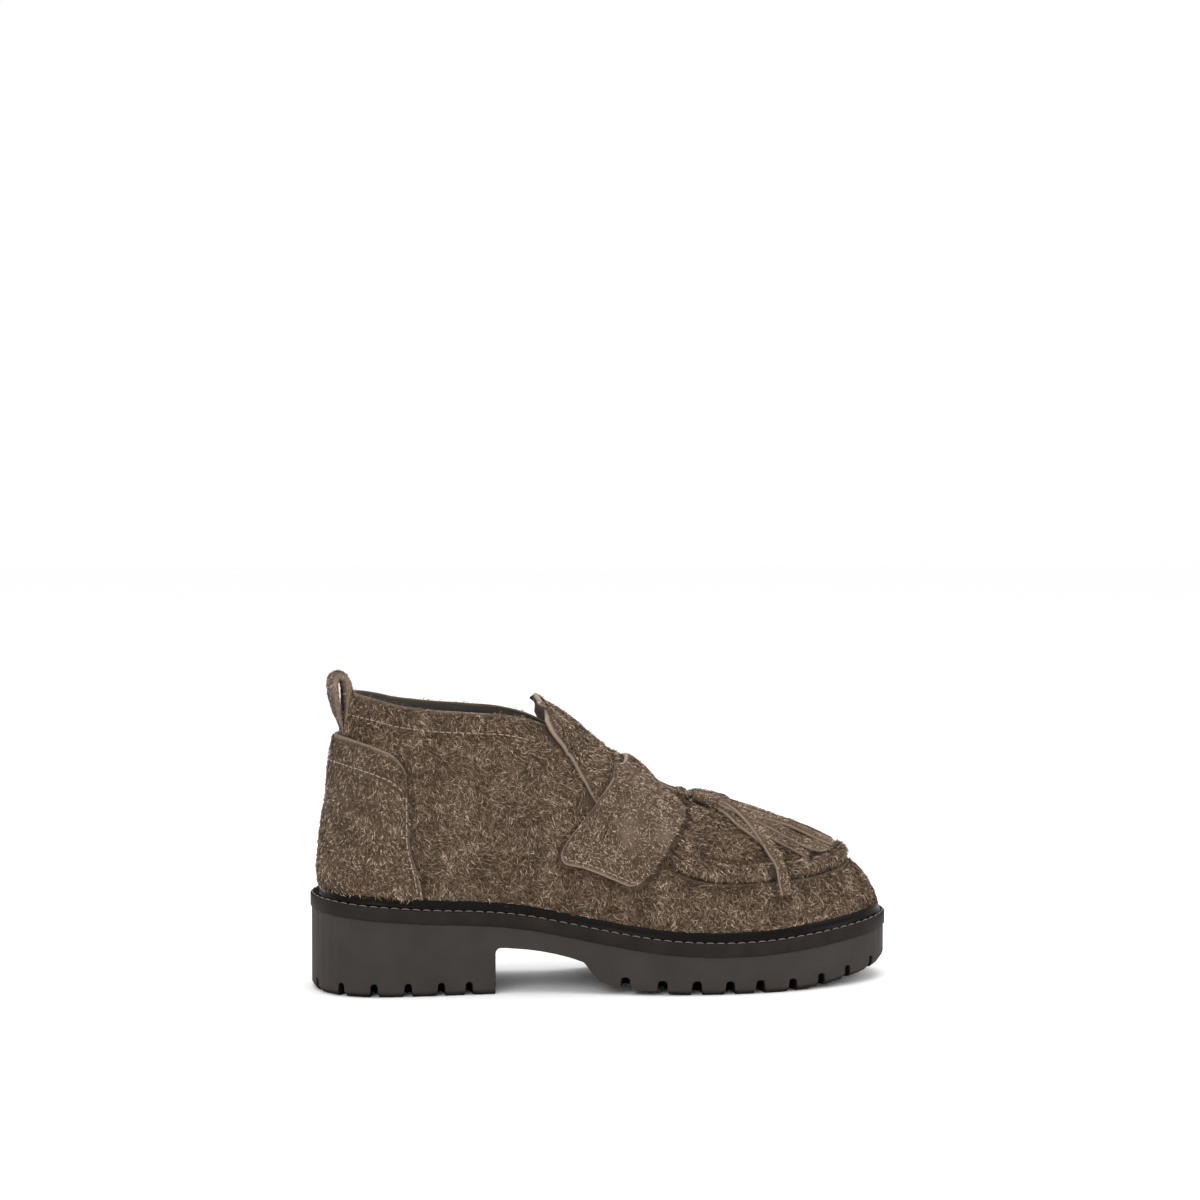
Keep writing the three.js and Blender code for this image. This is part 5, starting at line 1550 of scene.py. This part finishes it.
def hair_roots(mesh, count, chance, within):
    """Random places on the napped parts of a mesh: point, normal, and the marks there."""
    mesh.calc_loop_triangles()
    corners = read_all(mesh.loop_triangles, "vertices", 3, np.int32)
    points = read_all(mesh.vertices, "co", 3).astype(float) / MM
    normals = read_all(mesh.vertices, "normal", 3).astype(float)
    napped = read_all(mesh.attributes["napped"].data, "value", 1)
    wear = np.zeros_like(napped)
    if "wear" in mesh.attributes:
        wear = read_all(mesh.attributes["wear"].data, "value", 1)
    if within is not None:
        napped = napped * within(points)[:, None]
    a, b, c = (points[corners[:, k]] for k in range(3))
    area = 0.5 * np.linalg.norm(np.cross(b - a, c - a), axis=1)
    share = np.cumsum(area * napped[corners, 0].min(1))
    pick = corners[np.searchsorted(share, chance.uniform(0, share[-1], count))]
    u, v = chance.uniform(0, 1, (2, count))
    over = u + v > 1
    u, v = np.where(over, 1 - u, u), np.where(over, 1 - v, v)
    parts = np.stack([1 - u - v, u, v], -1)[..., None]
    root, normal, kept, wear_and_painted_light = (
        (values[pick] * parts).sum(1) for values in (points, normals, napped, wear)
    )
    return root, unit(normal), kept[:, 0], wear_and_painted_light[:, 0]


def nap(name, host, slot_name, count, length, seed, tone, within):
    """Hairs on the napped parts of a host, each a bent leaf, thin at its root and at its tip."""
    chance = np.random.default_rng(seed)
    root, normal, kept, wear_and_painted_light = hair_roots(host.data, count, chance, within)
    flow = unit(HAIR_COMB - normal * (normal @ HAIR_COMB)[:, None])
    turn = HAIR_SWIRL * drift(root, 17, seed + 1) + chance.normal(0, HAIR_STRAY, count)
    sideways = np.cross(normal, flow)
    way = flow * np.cos(turn)[:, None] + sideways * np.sin(turn)[:, None]
    rise = np.radians(chance.uniform(*HAIR_RISE, count))[:, None]
    grow = way * np.cos(rise) + normal * np.sin(rise)
    side = np.cross(normal, way)
    coarse = chance.uniform(0, 1, count) > FINE_SHARE
    reach = length * chance.uniform(0.5, 1.2, count) * (1 + 0.12 * drift(root, 9, seed + 2))
    reach = (reach * (1 + 0.25 * coarse) * (0.5 + 0.5 * np.clip(kept, 0, 1)))[:, None]
    curl = chance.normal(0, 0.34, count)[:, None]
    twist = chance.uniform(-0.9, 0.9, count)[:, None]
    flat = unit(side * np.cos(twist) + normal * np.sin(twist))
    wide = (HAIR_WIDTH * chance.uniform(0.8, 1.2, count) * (1 + 0.35 * coarse))[:, None]
    middle = root + grow * 0.5 * reach + side * curl * 0.45 * reach
    settle = -normal * np.sin(rise) * 0.45 * reach
    tip = root + grow * reach + settle - side * curl * 0.3 * reach
    root = root - normal * 0.12
    points = np.stack([root, middle - flat * wide / 2, middle + flat * wide / 2, tip], 1)
    first = 4 * np.arange(count)[:, None]
    hairs = bpy.data.meshes.new(name)
    fill_mesh(hairs, points.reshape(-1, 3) - TO_FRAME, [first + [0, 1, 2], first + [1, 3, 2]])
    shade = tone + 0.41 + 0.05 * drift(root, 15, seed + 3) + 0.035 * drift(root, 5, seed + 4)
    # Painted light read from the host makes each hair paler or darker
    shade = shade + chance.normal(0, 0.16, count) + 0.32 * coarse + 0.13 * wear_and_painted_light
    # Painted shade at each hair's root: its tone is lowered there, and raised a little at the tip
    along = np.stack([shade - 0.3, shade, shade, shade + 0.1], 1).ravel()
    mark_points(hairs, "tone", np.clip(along, 0, 1))
    hairs.materials.append(nap_material.material)
    rides(put(name, hairs), slot_name)


def at_heel_side(points):
    return (points[:, 1] < SIDE_LINE) & (points[:, 0] < HALF_WAY)


def at_toe_side(points):
    return (points[:, 1] < SIDE_LINE) & (points[:, 0] >= HALF_WAY)


def at_inner_side(points):
    return points[:, 1] >= SIDE_LINE


def at_hem(points):
    """The lowest part of the suede, where the hairs hang over the rand."""
    height = points[:, 2] - welt_height(points[:, 0] + LENGTH / 2)
    return (height > 3.5) & (height < 7.5)


part_nap(suede_upper, (counter, tongue, saddle_strap, tassel_outer, tassel_inner))
part_nap(tongue, (saddle_strap,))
# Host, slot, how many hairs, their length, the seed of their draws, how much paler, and where
for hairs_of in (
    ("nap_heel_side", suede_upper, "suede", 58000, 3.6, 101, -0.07, at_heel_side),
    ("nap_toe_side", suede_upper, "suede", 52000, 3.6, 106, -0.07, at_toe_side),
    ("nap_inner", suede_upper, "suede", 62000, 3.6, 111, -0.07, at_inner_side),
    ("nap_hem", suede_upper, "suede", 11000, 3.8, 191, -0.03, at_hem),
    ("nap_counter", counter, "suede", 26000, 2.8, 121, 0.02, None),
    ("nap_tongue", tongue, "suede", 15000, 2.6, 131, 0.03, None),
    ("nap_strap", saddle_strap, "suede", 20000, 2.2, 141, 0.09, None),
    ("nap_loop", pull_loop, "suede", 9000, 1.6, 151, 0.1, None),
    ("nap_tassel_outer", tassel_outer, "tassel", 17000, 1.7, 161, 0.1, None),
    ("nap_tassel_inner", tassel_inner, "tassel", 12000, 1.7, 171, 0.1, None),
    ("nap_thong", tassel_thong, "tassel", 3000, 1.4, 181, 0.0, None),
):
    nap(*hairs_of)
